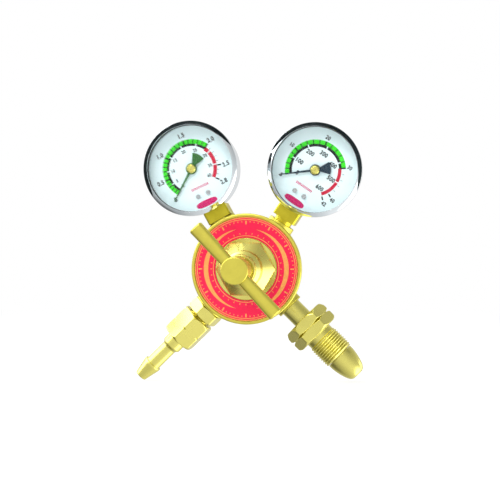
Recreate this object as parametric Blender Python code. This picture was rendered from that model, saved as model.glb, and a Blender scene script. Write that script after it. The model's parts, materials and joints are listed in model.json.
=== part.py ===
"""Two-gauge gas pressure regulator: brass body, hexagon bonnet with a T-screw, two dial gauges,
a bull-nose inlet with its spinning nut, and a hose-tail outlet.

Sizes are in millimetres and become metres when a mesh is made. The front frame has x to the right,
y up and z towards the viewer. Its z axis is the axis of the body and bonnet, and its z = 0 plane
holds the axes of the inlet and the high-pressure gauge. In the world +Z is up, the dials face -Y
and the origin is the tip of the bull nose.
"""

import math

import bmesh
import bpy
from mathutils import Matrix, Vector

MM = 0.001

# Fits
GAP = 0.3  # left between pieces that seat on each other
PLAY = 0.25  # radial play round anything that turns

# Places of the ports round the body, as directions in the front frame, and their depths
INLET_ANGLE = -44.5
OUTLET_ANGLE = -135.5
LOW_GAUGE_ANGLE = 119.0
HIGH_GAUGE_ANGLE = 56.0
LOW_PLANE = 14.0  # outlet and low-pressure gauge, in front of the inlet's plane

# Body, from the inlet's plane
BODY_R = 37.6
BODY_REAR_R = 34.0
RIM_FRONT = 26.3
RIM_WIDTH = 2.2
BODY_BACK = -14.0
EDGE = 1.4
SHOULDER = 1.0
LABEL_THICK = 0.5
LABEL_HOLE_R = 21.1
LABEL_DEPTH = 0.3  # label's face behind the rim
PORT_FACE = 38.2  # flat on each port's boss, from the body's axis
PORT_DEPTH = 12.2
PORT_THREAD_R = 6.4
CHANNEL_R = 1.9
GAUGE_BOSS_R = 9.6
INLET_BOSS_R = 9.6
OUTLET_BOSS_R = 11.4

# Valve and diaphragm
HIGH_CHAMBER_R = 8.0
WEB_BACK = 5.5
WEB_FRONT = 9.5
LOW_CHAMBER_R = 15.5
DIAPHRAGM_SEAT = 16.9
DIAPHRAGM_THICK = 1.0
SLIP_RING_THICK = 0.6
SLIP_RING_HOLE_R = 12.4
NOZZLE_THREAD_R = 5.0
NOZZLE_FLANGE_R = 7.0
NOZZLE_FLANGE = 1.7
NOZZLE_LIP_R = 2.6
NOZZLE_LIP = 0.9
NOZZLE_BORE_R = 1.6
PIN_R = 0.9
PIN_HEAD_R = 6.0
PIN_HEAD = 1.5
POPPET_R = 6.3
POPPET_LENGTH = 8.2
POPPET_SPIGOT_R = 2.8
POPPET_SPIGOT = 2.0
SEAT_DISC_R = 3.4
SEAT_DISC = 1.2
SEAT_DISC_PROUD = 0.3
POPPET_COIL_R = 4.0
POPPET_WIRE_R = 0.45
POPPET_TURNS = 4

# Rear plug
PLUG_THREAD_R = 9.7
PLUG_DEPTH = 4.7
PLUG_FLATS = 22.0
PLUG_HEAD = 5.0
PLUG_GASKET = 0.8
PLUG_GASKET_R = 12.2

# Bonnet, main spring and adjusting screw
BONNET_THREAD_R = 18.0
BONNET_FLANGE_R = 20.7
BONNET_FLANGE = 1.3
BONNET_FLATS = 35.5
BONNET_HEX = 2.6
BONNET_NECK_R = 9.8
BONNET_CONE = 18.6
BONNET_LIP = 2.4
SPRING_BORE_R = 11.5
SPRING_ROOF_WALL = 7.9
SPRING_COIL_R = 9.5
SPRING_WIRE_R = 1.15
SPRING_TURNS = 4
PLATE_THICK = 1.9
PLATE_SPIGOT = 1.6
BUTTON_THICK = 1.5
BUTTON_SPIGOT = 2.2
BUTTON_BOSS_R = 4.2
BUTTON_BOSS = 1.0
BALL_R = 2.0
BALL_SOCKET = 1.6
SCREW_R = 6.9
SCREW_PITCH = 2.0
SCREW_THREAD_DEPTH = 0.9
SCREW_SHANK_R = 5.0
HUB_CLEARANCE = 8.2  # from the bonnet to the hub, the screw's free length

# T-handle
HUB_R = 8.85
HUB_LENGTH = 17.0
HUB_BORE = 12.0
ARM_LENGTH = 76.8
ARM_WIDTH = 8.4
ARM_END_WIDTH = 9.6
ARM_DEPTH = 9.0
ARM_SETBACK = 1.4
ARM_END_ROUND = 1.2
ARM_ANGLE = 133.0
# Section of a forged arm with a ridge along its front: shares of its half width and half depth
ARM_SECTION = [(-0.55, -1), (0.55, -1), (1, -0.35), (1, 0.45), (0.72, 0.85), (-0.15, 1), (-0.8, 0.8),
               (-1, 0.35), (-1, -0.35)]

# Inlet
TUBE_R = 7.15
INLET_BORE_R = 1.9
FILTER_R = 3.2
FILTER_LENGTH = 6.0
NUT_BACK = 50.3
NUT_HEX = 15.1
NUT_FLATS = 30.0
NUT_TURN = 26.1  # of its hexagon about the line; at 0 a corner faces the viewer
NUT_RELIEF = 3.8
NUT_RELIEF_R = 10.2
NUT_THREAD_R = 11.45
NUT_PITCH = 1.814
NUT_THREADS = 9
NUT_THREAD_DEPTH = 1.15
NOTCH = 1.1
NOSE_R = 10.1
NOSE_COLLAR = 1.8
NOSE_LENGTH = 18.0
NOSE_TIP_R = 4.0
NOSE_FULLNESS = 0.8  # under 1 is slimmer near the collar

# Outlet
CONNECTOR_FLATS = 21.0
CONNECTOR_TURN = 11.0
CONNECTOR_HEX = 7.7
CONNECTOR_THREAD_R = 8.0
CONNECTOR_THREAD = 10.0
CONNECTOR_SEAT_R = 5.6
OUTLET_BORE_R = 1.9
OUTLET_NUT_SPACE = 1.8
OUTLET_NUT_FLATS = 22.0
OUTLET_NUT_TURN = 4.6
OUTLET_NUT_LENGTH = 21.4
OUTLET_NUT_LIP = 7.2
TAIL_HEAD = 4.6
TAIL_HEAD_R = 7.6
TAIL_NECK_R = 5.8
TAIL_COLLAR = 6.2
TAIL_COLLAR_R = 6.9
TAIL_SHANK_R = 5.3
TAIL_SHANK = 17.9
TAIL_BARB_R = 6.5
TAIL_BARB = 12.8
TAIL_TIP_R = 4.1

# Gauges, each in its own frame: z = 0 at the stem's axis, y away from the body
LOW_REACH = 77.8
HIGH_REACH = 81.1
LOW_STANDOFF = 0.3  # port face to stem block
HIGH_STANDOFF = 2.9
LOW_DIAL_TWIST = -4.4
HIGH_DIAL_TWIST = -0.6
LOW_ZERO = 52.5  # pointer at rest, clockwise from the dial's own down direction
HIGH_ZERO = 48.8
CASE_R = 30.75
CASE_WALL = 0.8
CASE_BACK = -10.0
CASE_FRONT = 14.0
BEZEL_WALL = 1.15
BEZEL_OVERLAP = 1.95  # lip over the case's edge
BEZEL_LIP = 1.1
BEZEL_ROUND = 2.0
WINDOW_THICK = 1.4
WINDOW_GASKET = 0.7
WINDOW_GASKET_WIDTH = 1.7
DIAL_FRONT = 10.0
DIAL_THICK = 0.6
DIAL_HOLE_R = 1.6
DIAL_SCREW_PLACE = 19.6
DIAL_SCREW_SPREAD = 11.0
DIAL_SCREW_HEAD_R = 1.6
DIAL_SCREW_HEAD = 0.6
DIAL_SCREW_R = 0.7
DIAL_SCREW_LENGTH = 1.6
STEM_FLATS = 17.0
STEM_CORNER = 1.2
STEM_BORE_R = 1.4
STEM_GASKET = 1.0
STEM_GASKET_HOLE_R = 2.6
STEM_NECK_R = 6.0
COLUMN_WIDTH = 13.0
COLUMN_TOP = 14.0  # below the dial's centre
COLUMN_FRONT = 0.5
CASE_SCREW_SPREAD = 4.2
CASE_SCREW_INSET = 7.75  # from the case's side
CASE_SCREW_R = 1.3
CASE_SCREW_HEAD_R = 2.6
CASE_SCREW_HEAD = 1.2
CASE_SCREW_DEPTH = 4.5

# Movement
GEAR_MODULE = 0.4
PINION_TEETH = 8
GEAR_RATIO = 9
POINTER_SWEEP = 262.8  # from zero to the end of the scale
SPARE_TEETH = 2  # past the mesh at each end of the sector's swing
TOOTH_SHARE = 0.38  # of the pitch
ADDENDUM = 0.8
DEDENDUM = 1.05
TOOTH_ROOT = 1.3  # tooth's width at its root and tip, as shares of its width in the middle
TOOTH_TIP = 0.6
SECTOR_BACK = 4.0
SECTOR_THICK = 1.2
PINION_OVERHANG = 0.6
ARBOR_R = 0.8
SECTOR_PIVOT_ANGLE = -60.0
TAIL_ARM = 6.0
TAIL_ARM_ANGLE = -70.0
TAIL_ARM_R = 1.9
SECTOR_HUB_R = 2.6
PLATE_BACK = 0.8
PLATE_SHEET = 1.0
TOP_PLATE_GAP = 0.3
PLATE_LEFT = -10.0
PLATE_RIGHT = 12.0
PLATE_LOW = -17.0
PLATE_HIGH = 8.0
PILLAR_R = 1.4
TONGUE_WIDTH = 12.0
BOURDON_R = 23.0
BOURDON_WIDTH = 7.6
BOURDON_THICK = 3.0
BOURDON_FLAT = 0.7  # flat share of the tube's width
BOURDON_CENTRE = -0.6
BOURDON_TIP_ANGLE = -26.0
LINK_TIP_ANGLE = -30.0
LINK_THICK = 0.8
LINK_WIDTH = 2.6
POINTER_TIP = 25.2
POINTER_TAIL = 10.8
POINTER_TAIL_SPREAD = 24.0
POINTER_HUB_R = 3.85
POINTER_HALF_WIDTH = 0.8
POINTER_TIP_HALF_WIDTH = 0.25
POINTER_THICK = 0.5
POINTER_LIFT = 0.9  # above the dial
BOSS_R = 3.2
BOSS_HEIGHT = 1.6

# Sides of turned pieces
LARGE = 36
MEDIUM = 24
SCREW_SIDES = 16
SMALL = 12
TINY = 8
COIL_POINTS = 8  # in one turn of a spring

# Colours, as (red, green, blue, roughness, metallic)
MACHINED_BRASS = (0.72, 0.60, 0.22, 0.28, 1.0)
FORGED_BRASS = (0.66, 0.55, 0.20, 0.42, 1.0)
BRIGHT_BRASS = (0.68, 0.60, 0.10, 0.30, 1.0)
CHROME = (0.75, 0.77, 0.78, 0.12, 1.0)
STEEL = (0.55, 0.56, 0.58, 0.35, 1.0)
SPRING_STEEL = (0.40, 0.40, 0.42, 0.40, 1.0)
BRONZE = (0.60, 0.42, 0.24, 0.40, 1.0)
RED_ENAMEL = (0.78, 0.02, 0.06, 0.35, 0.0)
RUBBER = (0.03, 0.03, 0.03, 0.70, 0.0)
FIBRE = (0.45, 0.12, 0.08, 0.80, 0.0)
NYLON = (0.85, 0.84, 0.78, 0.50, 0.0)
GLASS = (0.85, 0.95, 0.95, 0.05, 0.0)
WHITE_PAINT = (0.85, 0.90, 0.90, 0.50, 0.0)
BLACK_PAINT = (0.02, 0.05, 0.03, 0.45, 0.0)


# Places worked out from the sizes above
LABEL_FRONT = RIM_FRONT - LABEL_DEPTH
LABEL_FLOOR = LABEL_FRONT - LABEL_THICK - GAP
LABEL_R = BODY_R - RIM_WIDTH - GAP
PORT_BOTTOM = PORT_FACE - PORT_DEPTH
SEAT = PORT_FACE + GAP

NOZZLE_TIP = WEB_BACK - NOZZLE_LIP
SEAT_DISC_FRONT = NOZZLE_TIP - GAP
POPPET_FRONT = SEAT_DISC_FRONT - SEAT_DISC_PROUD
POPPET_BACK = POPPET_FRONT - POPPET_LENGTH
DIAPHRAGM_BACK = DIAPHRAGM_SEAT + GAP
DIAPHRAGM_FRONT = DIAPHRAGM_BACK + DIAPHRAGM_THICK
SLIP_RING_FRONT = DIAPHRAGM_FRONT + GAP + SLIP_RING_THICK
PLUG_FRONT = BODY_BACK + PLUG_DEPTH

BONNET_FOOT = SLIP_RING_FRONT + GAP
BONNET_SEAT = LABEL_FLOOR + GAP
HEX_FOOT = BONNET_SEAT + BONNET_FLANGE
CONE_FOOT = HEX_FOOT + BONNET_HEX
CONE_TOP = CONE_FOOT + BONNET_CONE
BONNET_TOP = CONE_TOP + BONNET_LIP
SPRING_ROOF = BONNET_TOP - SPRING_ROOF_WALL
SPIGOT_R = SPRING_COIL_R * math.cos(math.pi / COIL_POINTS) - SPRING_WIRE_R - GAP
PLATE_FRONT = DIAPHRAGM_FRONT + GAP + PLATE_THICK
BUTTON_FRONT = SPRING_ROOF - GAP
BUTTON_BACK = BUTTON_FRONT - BUTTON_THICK
BALL_CENTRE = BUTTON_FRONT + BUTTON_BOSS - BALL_SOCKET + GAP + BALL_R
SCREW_TIP = BUTTON_FRONT + BUTTON_BOSS + GAP
HUB_BACK = BONNET_TOP + HUB_CLEARANCE
HUB_FRONT = HUB_BACK + HUB_LENGTH

NUT_FRONT = NUT_BACK + NUT_HEX + NUT_RELIEF + NUT_THREADS * NUT_PITCH
NOSE_BACK = NUT_FRONT + GAP
NOSE_TIP = NOSE_BACK + NOSE_LENGTH

CONNECTOR_FRONT = SEAT + CONNECTOR_HEX
CONNECTOR_END = CONNECTOR_FRONT + CONNECTOR_THREAD
OUTLET_NUT_BACK = CONNECTOR_FRONT + OUTLET_NUT_SPACE
OUTLET_NUT_FRONT = OUTLET_NUT_BACK + OUTLET_NUT_LENGTH
OUTLET_NUT_SHELF = OUTLET_NUT_FRONT - OUTLET_NUT_LIP
TAIL_HEAD_FRONT = OUTLET_NUT_SHELF - GAP
TAIL_COLLAR_BACK = OUTLET_NUT_FRONT + GAP
TAIL_BARB_BACK = TAIL_COLLAR_BACK + TAIL_COLLAR + TAIL_SHANK
TAIL_END = TAIL_BARB_BACK + TAIL_BARB

BEZEL_R = CASE_R + GAP + BEZEL_WALL
BEZEL_LIP_R = CASE_R - BEZEL_OVERLAP
CASE_SCREW_DROP = CASE_R - CASE_SCREW_INSET
BEZEL_BACK = STEM_FLATS / 2 + GAP
GASKET_BACK = CASE_FRONT + GAP
WINDOW_BACK = GASKET_BACK + WINDOW_GASKET + GAP
WINDOW_FRONT = WINDOW_BACK + WINDOW_THICK
BEZEL_FRONT = WINDOW_FRONT + GAP + BEZEL_LIP
DIAL_BACK = DIAL_FRONT - DIAL_THICK
DIAL_R = CASE_R - CASE_WALL - GAP
TOP_PLATE_FRONT = DIAL_BACK - TOP_PLATE_GAP
TOP_PLATE_BACK = TOP_PLATE_FRONT - PLATE_SHEET
PINION_R = GEAR_MODULE * PINION_TEETH / 2
SECTOR_R = PINION_R * GEAR_RATIO
SECTOR_TEETH = math.ceil(PINION_TEETH * POINTER_SWEEP / 360) + 2 * SPARE_TEETH
SECTOR_FRONT = SECTOR_BACK + SECTOR_THICK
LINK_BACK = SECTOR_FRONT + GAP
LINK_FRONT = LINK_BACK + LINK_THICK
POINTER_BACK = DIAL_FRONT + POINTER_LIFT
POINTER_FRONT = POINTER_BACK + POINTER_THICK
STEM_BLOCK_TOP = CASE_R + GAP  # below the dial's centre


# Building blocks


def clear_scene():
    for thing in list(bpy.data.objects):
        bpy.data.objects.remove(thing, do_unlink=True)


def polar(radius, degrees):
    angle = math.radians(degrees)
    return (radius * math.cos(angle), radius * math.sin(angle))


def paint(name, look):
    red, green, blue, roughness, metallic = look
    material = bpy.data.materials.new(name)
    material.use_nodes = True
    shader = material.node_tree.nodes["Principled BSDF"]
    shader.inputs["Base Color"].default_value = (red, green, blue, 1.0)
    shader.inputs["Roughness"].default_value = roughness
    shader.inputs["Metallic"].default_value = metallic
    return material


def add_empty(name, parent=None, place=(0, 0, 0), turn=(0, 0, 0)):
    """An empty at a place in millimetres, turned by degrees about x, y and z."""
    empty = bpy.data.objects.new(name, None)
    put(empty, parent, place, turn)
    return empty


def put(thing, parent, place=(0, 0, 0), turn=(0, 0, 0)):
    bpy.context.scene.collection.objects.link(thing)
    thing.parent = parent
    thing.location = Vector(place) * MM
    thing.rotation_euler = [math.radians(angle) for angle in turn]


def add_piece(name, shape, look, parent, place=(0, 0, 0), turn=(0, 0, 0)):
    """An object from a closed bmesh in millimetres, with its own material."""
    bmesh.ops.recalc_face_normals(shape, faces=shape.faces)
    shape.transform(Matrix.Scale(MM, 4))
    mesh = bpy.data.meshes.new(name)
    shape.to_mesh(mesh)
    shape.free()
    mesh.shade_smooth()
    mesh.set_sharp_from_angle(angle=math.radians(35))
    mesh.materials.append(paint(name, look))
    piece = bpy.data.objects.new(name, mesh)
    put(piece, parent, place, turn)
    return piece


def combine(target, other_shape, operation, place=(0, 0, 0), turn=(0, 0, 0)):
    """Cuts a shape from the target, joins it or keeps what they share, by a Boolean."""
    number = len(target.modifiers)
    name = f"{target.name}_{operation.lower()}_{number}"
    tool = add_piece(name, other_shape, STEEL, target, place, turn)
    tool.hide_render = True
    tool.display_type = "WIRE"
    change = target.modifiers.new(name, "BOOLEAN")
    change.operation = operation
    change.solver = "EXACT"
    change.object = tool


def cut(target, shape, place=(0, 0, 0), turn=(0, 0, 0)):
    combine(target, shape, "DIFFERENCE", place, turn)


def join(target, shape, place=(0, 0, 0), turn=(0, 0, 0)):
    combine(target, shape, "UNION", place, turn)


def skin(shape, ring, following):
    """Faces between two closed rings of corners; a ring of one corner closes to a point."""
    count = max(len(ring), len(following))
    for k in range(count):
        m = (k + 1) % count
        corners = [ring[k % len(ring)], ring[m % len(ring)]]
        corners += [following[m % len(following)], following[k % len(following)]]
        corners = list(dict.fromkeys(corners))
        if len(corners) > 2:
            shape.faces.new(corners)


def turned(outline, sides):
    """A solid of revolution about z, from its closed half section of (radius, z)."""
    shape = bmesh.new()
    rings = []
    for radius, z in outline:
        if radius == 0:
            rings.append([shape.verts.new((0, 0, z))])
            continue
        steps = (360 * k / sides for k in range(sides))
        rings.append([shape.verts.new((*polar(radius, step), z)) for step in steps])
    for ring, following in zip(rings, rings[1:] + rings[:1]):
        skin(shape, ring, following)
    return shape


def rod(radius, low, high, sides):
    return turned([(0, low), (radius, low), (radius, high), (0, high)], sides)


def washer(hole, radius, low, high, sides):
    return turned([(hole, low), (radius, low), (radius, high), (hole, high)], sides)


def prism(corners, low, high):
    """A flat plate with the given (x, y) corners, from z = low to z = high."""
    shape = bmesh.new()
    bottom = [shape.verts.new((x, y, low)) for x, y in corners]
    top = [shape.verts.new((x, y, high)) for x, y in corners]
    skin(shape, bottom, top)
    shape.faces.new(bottom)
    shape.faces.new(top)
    return shape


def box(low, high):
    corners = [(low[0], low[1]), (high[0], low[1]), (high[0], high[1]), (low[0], high[1])]
    return prism(corners, low[2], high[2])


def hexagon(flats):
    corner = flats / math.sqrt(3)
    return [polar(corner, 60 * k) for k in range(6)]


def hexagon_sleeve(flats, low, high):
    """What a spanner would fill round a hexagon: cut from a turned piece, it leaves the flats."""
    shape = bmesh.new()
    rings = []
    for size, z in [(flats, low), (2 * flats, low), (2 * flats, high), (flats, high)]:
        rings.append([shape.verts.new((x, y, z)) for x, y in hexagon(size)])
    for ring, following in zip(rings, rings[1:] + rings[:1]):
        skin(shape, ring, following)
    return shape


def ridges(crest, depth, pitch, start, count):
    """Outline points of a thread's crests and roots, from start upwards."""
    points = []
    for k in range(count):
        z = start + k * pitch
        points += [(crest - depth, z), (crest, z + pitch / 2)]
    return points + [(crest - depth, start + count * pitch)]


def swept(path, section):
    """A solid along a path of (point, outward direction), with (out, along z) section corners."""
    shape = bmesh.new()
    rings = []
    for point, outward in path:
        rings.append([shape.verts.new(point + outward * out + Vector((0, 0, up)))
                      for out, up in section])
    for ring, following in zip(rings, rings[1:]):
        skin(shape, ring, following)
    shape.faces.new(rings[0])
    shape.faces.new(rings[-1])
    return shape


def coil(radius, wire, low, high, turns, sides=5):
    """A compression spring whose wire stays between z = low and z = high."""
    steps = turns * COIL_POINTS
    path = []
    for k in range(steps + 1):
        outward = Vector((*polar(1, 360 * k / COIL_POINTS), 0))
        z = low + wire + (high - low - 2 * wire) * k / steps
        path.append((outward * radius + Vector((0, 0, z)), outward))
    section = [polar(wire, 360 * k / sides) for k in range(sides)]
    return swept(path, section)


def stadium(start, end, radius, steps=5):
    """Corners of a round-ended bar between two points."""
    along = math.degrees(math.atan2(end[1] - start[1], end[0] - start[0]))
    corners = []
    for centre, first in [(end, along - 90), (start, along + 90)]:
        for k in range(steps + 1):
            dx, dy = polar(radius, first + 180 * k / steps)
            corners.append((centre[0] + dx, centre[1] + dy))
    return corners


def tooth(radius, centre, teeth):
    """Corners of one tooth of a gear, clockwise, at an angle on its pitch circle."""
    half = 360 / teeth * TOOTH_SHARE / 2
    root = radius - DEDENDUM * GEAR_MODULE
    tip = radius + ADDENDUM * GEAR_MODULE
    places = [(root, TOOTH_ROOT), (tip, TOOTH_TIP), (tip, -TOOTH_TIP), (root, -TOOTH_ROOT)]
    return [polar(place, centre + share * half) for place, share in places]


# Body, label, diaphragm and valve


def add_body(front, lines):
    back_edge = BODY_BACK + EDGE
    outline = [
        (BODY_R - EDGE, RIM_FRONT),
        (BODY_R, RIM_FRONT - EDGE),
        (BODY_R, SHOULDER),
        (BODY_REAR_R, SHOULDER - (BODY_R - BODY_REAR_R)),
        (BODY_REAR_R, back_edge),
        (BODY_REAR_R - EDGE, BODY_BACK),
        (PLUG_THREAD_R + GAP, BODY_BACK),
        (PLUG_THREAD_R + GAP, PLUG_FRONT + GAP),
        (HIGH_CHAMBER_R, PLUG_FRONT + GAP),
        (HIGH_CHAMBER_R, WEB_BACK),
        (NOZZLE_THREAD_R + GAP, WEB_BACK),
        (NOZZLE_THREAD_R + GAP, WEB_FRONT),
        (LOW_CHAMBER_R, WEB_FRONT),
        (LOW_CHAMBER_R, DIAPHRAGM_SEAT),
        (BONNET_THREAD_R + GAP, DIAPHRAGM_SEAT),
        (BONNET_THREAD_R + GAP, LABEL_FLOOR),
        (LABEL_R + GAP, LABEL_FLOOR),
        (LABEL_R + GAP, RIM_FRONT),
    ]
    body = add_piece("regulator_body", turned(outline, LARGE), FORGED_BRASS, front)
    for line, boss, foot, chamber in lines:
        place = line.location / MM
        turn = [math.degrees(angle) for angle in line.rotation_euler]
        join(body, rod(boss, foot, PORT_FACE, MEDIUM), place, turn)
        cut(body, rod(PORT_THREAD_R + GAP, PORT_BOTTOM, PORT_FACE + EDGE, SMALL), place, turn)
        cut(body, rod(CHANNEL_R, chamber / 2, PORT_BOTTOM + EDGE, TINY), place, turn)
    return body


def add_label(front):
    ring = washer(LABEL_HOLE_R, LABEL_R, LABEL_FLOOR + GAP, LABEL_FRONT, LARGE)
    add_piece("label_ring", ring, RED_ENAMEL, front)


def add_diaphragm_stack(front):
    edge = BONNET_THREAD_R
    disc = rod(edge, DIAPHRAGM_BACK, DIAPHRAGM_FRONT, MEDIUM)
    add_piece("diaphragm", disc, RUBBER, front)
    ring = washer(SLIP_RING_HOLE_R, edge, DIAPHRAGM_FRONT + GAP, SLIP_RING_FRONT, MEDIUM)
    add_piece("slip_ring", ring, MACHINED_BRASS, front)
    plate = [
        (0, DIAPHRAGM_FRONT + GAP),
        (SPRING_BORE_R - 2 * GAP, DIAPHRAGM_FRONT + GAP),
        (SPRING_BORE_R - 2 * GAP, PLATE_FRONT),
        (SPIGOT_R, PLATE_FRONT),
        (SPIGOT_R, PLATE_FRONT + PLATE_SPIGOT),
        (0, PLATE_FRONT + PLATE_SPIGOT),
    ]
    add_piece("diaphragm_plate", turned(plate, MEDIUM), STEEL, front)


def add_valve(front):
    flange_back = WEB_FRONT + GAP
    nozzle = [
        (NOZZLE_BORE_R, NOZZLE_TIP),
        (NOZZLE_LIP_R, NOZZLE_TIP),
        (NOZZLE_LIP_R, WEB_BACK),
        (NOZZLE_THREAD_R, WEB_BACK),
        (NOZZLE_THREAD_R, flange_back),
        (NOZZLE_FLANGE_R, flange_back),
        (NOZZLE_FLANGE_R, flange_back + NOZZLE_FLANGE),
        (NOZZLE_BORE_R, flange_back + NOZZLE_FLANGE),
    ]
    add_piece("seat_nozzle", turned(nozzle, SMALL), MACHINED_BRASS, front)

    head_front = DIAPHRAGM_BACK - GAP
    pin = [
        (0, NOZZLE_TIP),
        (PIN_R, NOZZLE_TIP),
        (PIN_R, head_front - PIN_HEAD),
        (PIN_HEAD_R, head_front - PIN_HEAD),
        (PIN_HEAD_R, head_front),
        (0, head_front),
    ]
    add_piece("push_pin", turned(pin, SMALL), STEEL, front)

    seat_back = SEAT_DISC_FRONT - SEAT_DISC
    disc = rod(SEAT_DISC_R, seat_back, SEAT_DISC_FRONT, SMALL)
    add_piece("poppet_seat", disc, NYLON, front)

    spigot_back = POPPET_BACK - POPPET_SPIGOT
    poppet = [
        (0, spigot_back),
        (POPPET_SPIGOT_R, spigot_back),
        (POPPET_SPIGOT_R, POPPET_BACK),
        (POPPET_R, POPPET_BACK),
        (POPPET_R, POPPET_FRONT),
        (SEAT_DISC_R + GAP, POPPET_FRONT),
        (SEAT_DISC_R + GAP, seat_back - GAP),
        (0, seat_back - GAP),
    ]
    add_piece("valve_poppet", turned(poppet, SMALL), MACHINED_BRASS, front)
    spring = coil(POPPET_COIL_R, POPPET_WIRE_R, PLUG_FRONT + GAP, POPPET_BACK - GAP,
                  POPPET_TURNS)
    add_piece("poppet_spring", spring, SPRING_STEEL, front)


def add_rear_plug(front):
    gasket_front = BODY_BACK - GAP
    gasket_back = gasket_front - PLUG_GASKET
    ring = washer(PLUG_THREAD_R + GAP, PLUG_GASKET_R, gasket_back, gasket_front, MEDIUM)
    add_piece("rear_plug_gasket", ring, FIBRE, front)
    head_front = gasket_back - GAP
    head_back = head_front - PLUG_HEAD
    corner = PLUG_FLATS / math.sqrt(3)
    outline = [
        (0, head_back),
        (corner - EDGE, head_back),
        (corner, head_back + EDGE / 2),
        (corner, head_front),
        (PLUG_THREAD_R, head_front),
        (PLUG_THREAD_R, PLUG_FRONT),
        (0, PLUG_FRONT),
    ]
    plug = add_piece("rear_plug", turned(outline, MEDIUM), MACHINED_BRASS, front)
    cut(plug, hexagon_sleeve(PLUG_FLATS, head_back - EDGE, head_front + GAP))


# Bonnet, spring and T-screw


def add_bonnet(front):
    corner = BONNET_FLATS / math.sqrt(3)
    outline = [
        (SPRING_BORE_R, BONNET_FOOT),
        (BONNET_THREAD_R, BONNET_FOOT),
        (BONNET_THREAD_R, BONNET_SEAT),
        (BONNET_FLANGE_R, BONNET_SEAT),
        (BONNET_FLANGE_R, HEX_FOOT),
        (corner, HEX_FOOT),
        (corner, CONE_FOOT),
        (BONNET_NECK_R, CONE_TOP),
        (BONNET_NECK_R, BONNET_TOP - EDGE / 2),
        (BONNET_NECK_R - EDGE / 2, BONNET_TOP),
        (SCREW_R + GAP, BONNET_TOP),
        (SCREW_R + GAP, SPRING_ROOF),
        (SPRING_BORE_R, SPRING_ROOF),
    ]
    bonnet = add_piece("bonnet", turned(outline, LARGE), MACHINED_BRASS, front)
    cut(bonnet, hexagon_sleeve(BONNET_FLATS, HEX_FOOT, CONE_TOP))


def add_main_spring(front):
    spring = coil(SPRING_COIL_R, SPRING_WIRE_R, PLATE_FRONT + GAP, BUTTON_BACK - GAP, SPRING_TURNS)
    add_piece("main_spring", spring, SPRING_STEEL, front)


def add_spring_button(front):
    boss_front = BUTTON_FRONT + BUTTON_BOSS
    pocket = BALL_R + GAP
    outline = [
        (0, BUTTON_BACK - BUTTON_SPIGOT),
        (SPIGOT_R, BUTTON_BACK - BUTTON_SPIGOT),
        (SPIGOT_R, BUTTON_BACK),
        (SPRING_BORE_R - GAP, BUTTON_BACK),
        (SPRING_BORE_R - GAP, BUTTON_FRONT),
        (BUTTON_BOSS_R, BUTTON_FRONT),
        (BUTTON_BOSS_R, boss_front),
        (pocket, boss_front),
        (pocket, boss_front - BALL_SOCKET),
        (0, boss_front - BALL_SOCKET),
    ]
    add_piece("spring_button", turned(outline, MEDIUM), STEEL, front)
    half_turns = range(0, 181, 30)
    ball = [polar(BALL_R, angle - 90) for angle in half_turns]
    ball[0] = (0, -BALL_R)
    ball[-1] = (0, BALL_R)
    add_piece("thrust_ball", turned(ball, TINY), STEEL, front, (0, 0, BALL_CENTRE))


def add_adjusting_screw(front):
    pocket = BALL_R + GAP
    pocket_end = BALL_CENTRE + BALL_R + GAP
    count = int((HUB_BACK - GAP - SCREW_TIP - EDGE) / SCREW_PITCH)
    shank_end = HUB_BACK + HUB_BORE - GAP
    outline = [(0, pocket_end), (pocket, pocket_end), (pocket, SCREW_TIP)]
    outline += ridges(SCREW_R, SCREW_THREAD_DEPTH, SCREW_PITCH, SCREW_TIP, count)
    outline += [
        (SCREW_R - SCREW_THREAD_DEPTH, HUB_BACK - GAP),
        (SCREW_SHANK_R, HUB_BACK - GAP),
        (SCREW_SHANK_R, shank_end),
        (0, shank_end),
    ]
    add_piece("adjusting_screw", turned(outline, SCREW_SIDES), MACHINED_BRASS, front)


def add_t_handle(front):
    hub = [
        (0, HUB_BACK + HUB_BORE),
        (SCREW_SHANK_R + GAP, HUB_BACK + HUB_BORE),
        (SCREW_SHANK_R + GAP, HUB_BACK),
        (HUB_R - EDGE / 2, HUB_BACK),
        (HUB_R, HUB_BACK + EDGE / 2),
        (HUB_R, HUB_FRONT - EDGE / 2),
        (HUB_R - EDGE / 2, HUB_FRONT),
        (0, HUB_FRONT),
    ]
    handle = add_piece("t_handle", turned(hub, MEDIUM), FORGED_BRASS, front)
    end = ARM_LENGTH / 2
    middle = HUB_FRONT - ARM_SETBACK - ARM_DEPTH / 2
    inner = SCREW_SHANK_R + EDGE
    stations = [
        (inner, ARM_WIDTH),
        (end - ARM_END_ROUND, ARM_END_WIDTH),
        (end, ARM_END_WIDTH - 2 * ARM_END_ROUND),
    ]
    for side in (0, 180):
        arm = bmesh.new()
        rings = []
        for reach, width in stations:
            half = width / 2
            deep = ARM_DEPTH / 2 * min(1.0, width / ARM_WIDTH)
            rings.append([arm.verts.new((reach, across * half, depth * deep))
                          for across, depth in ARM_SECTION])
        for ring, following in zip(rings, rings[1:]):
            skin(arm, ring, following)
        arm.faces.new(rings[0])
        arm.faces.new(rings[-1])
        join(handle, arm, (0, 0, middle), (0, 0, ARM_ANGLE + side))


# Inlet and outlet, along lines whose z is the distance from the body's axis


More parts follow.
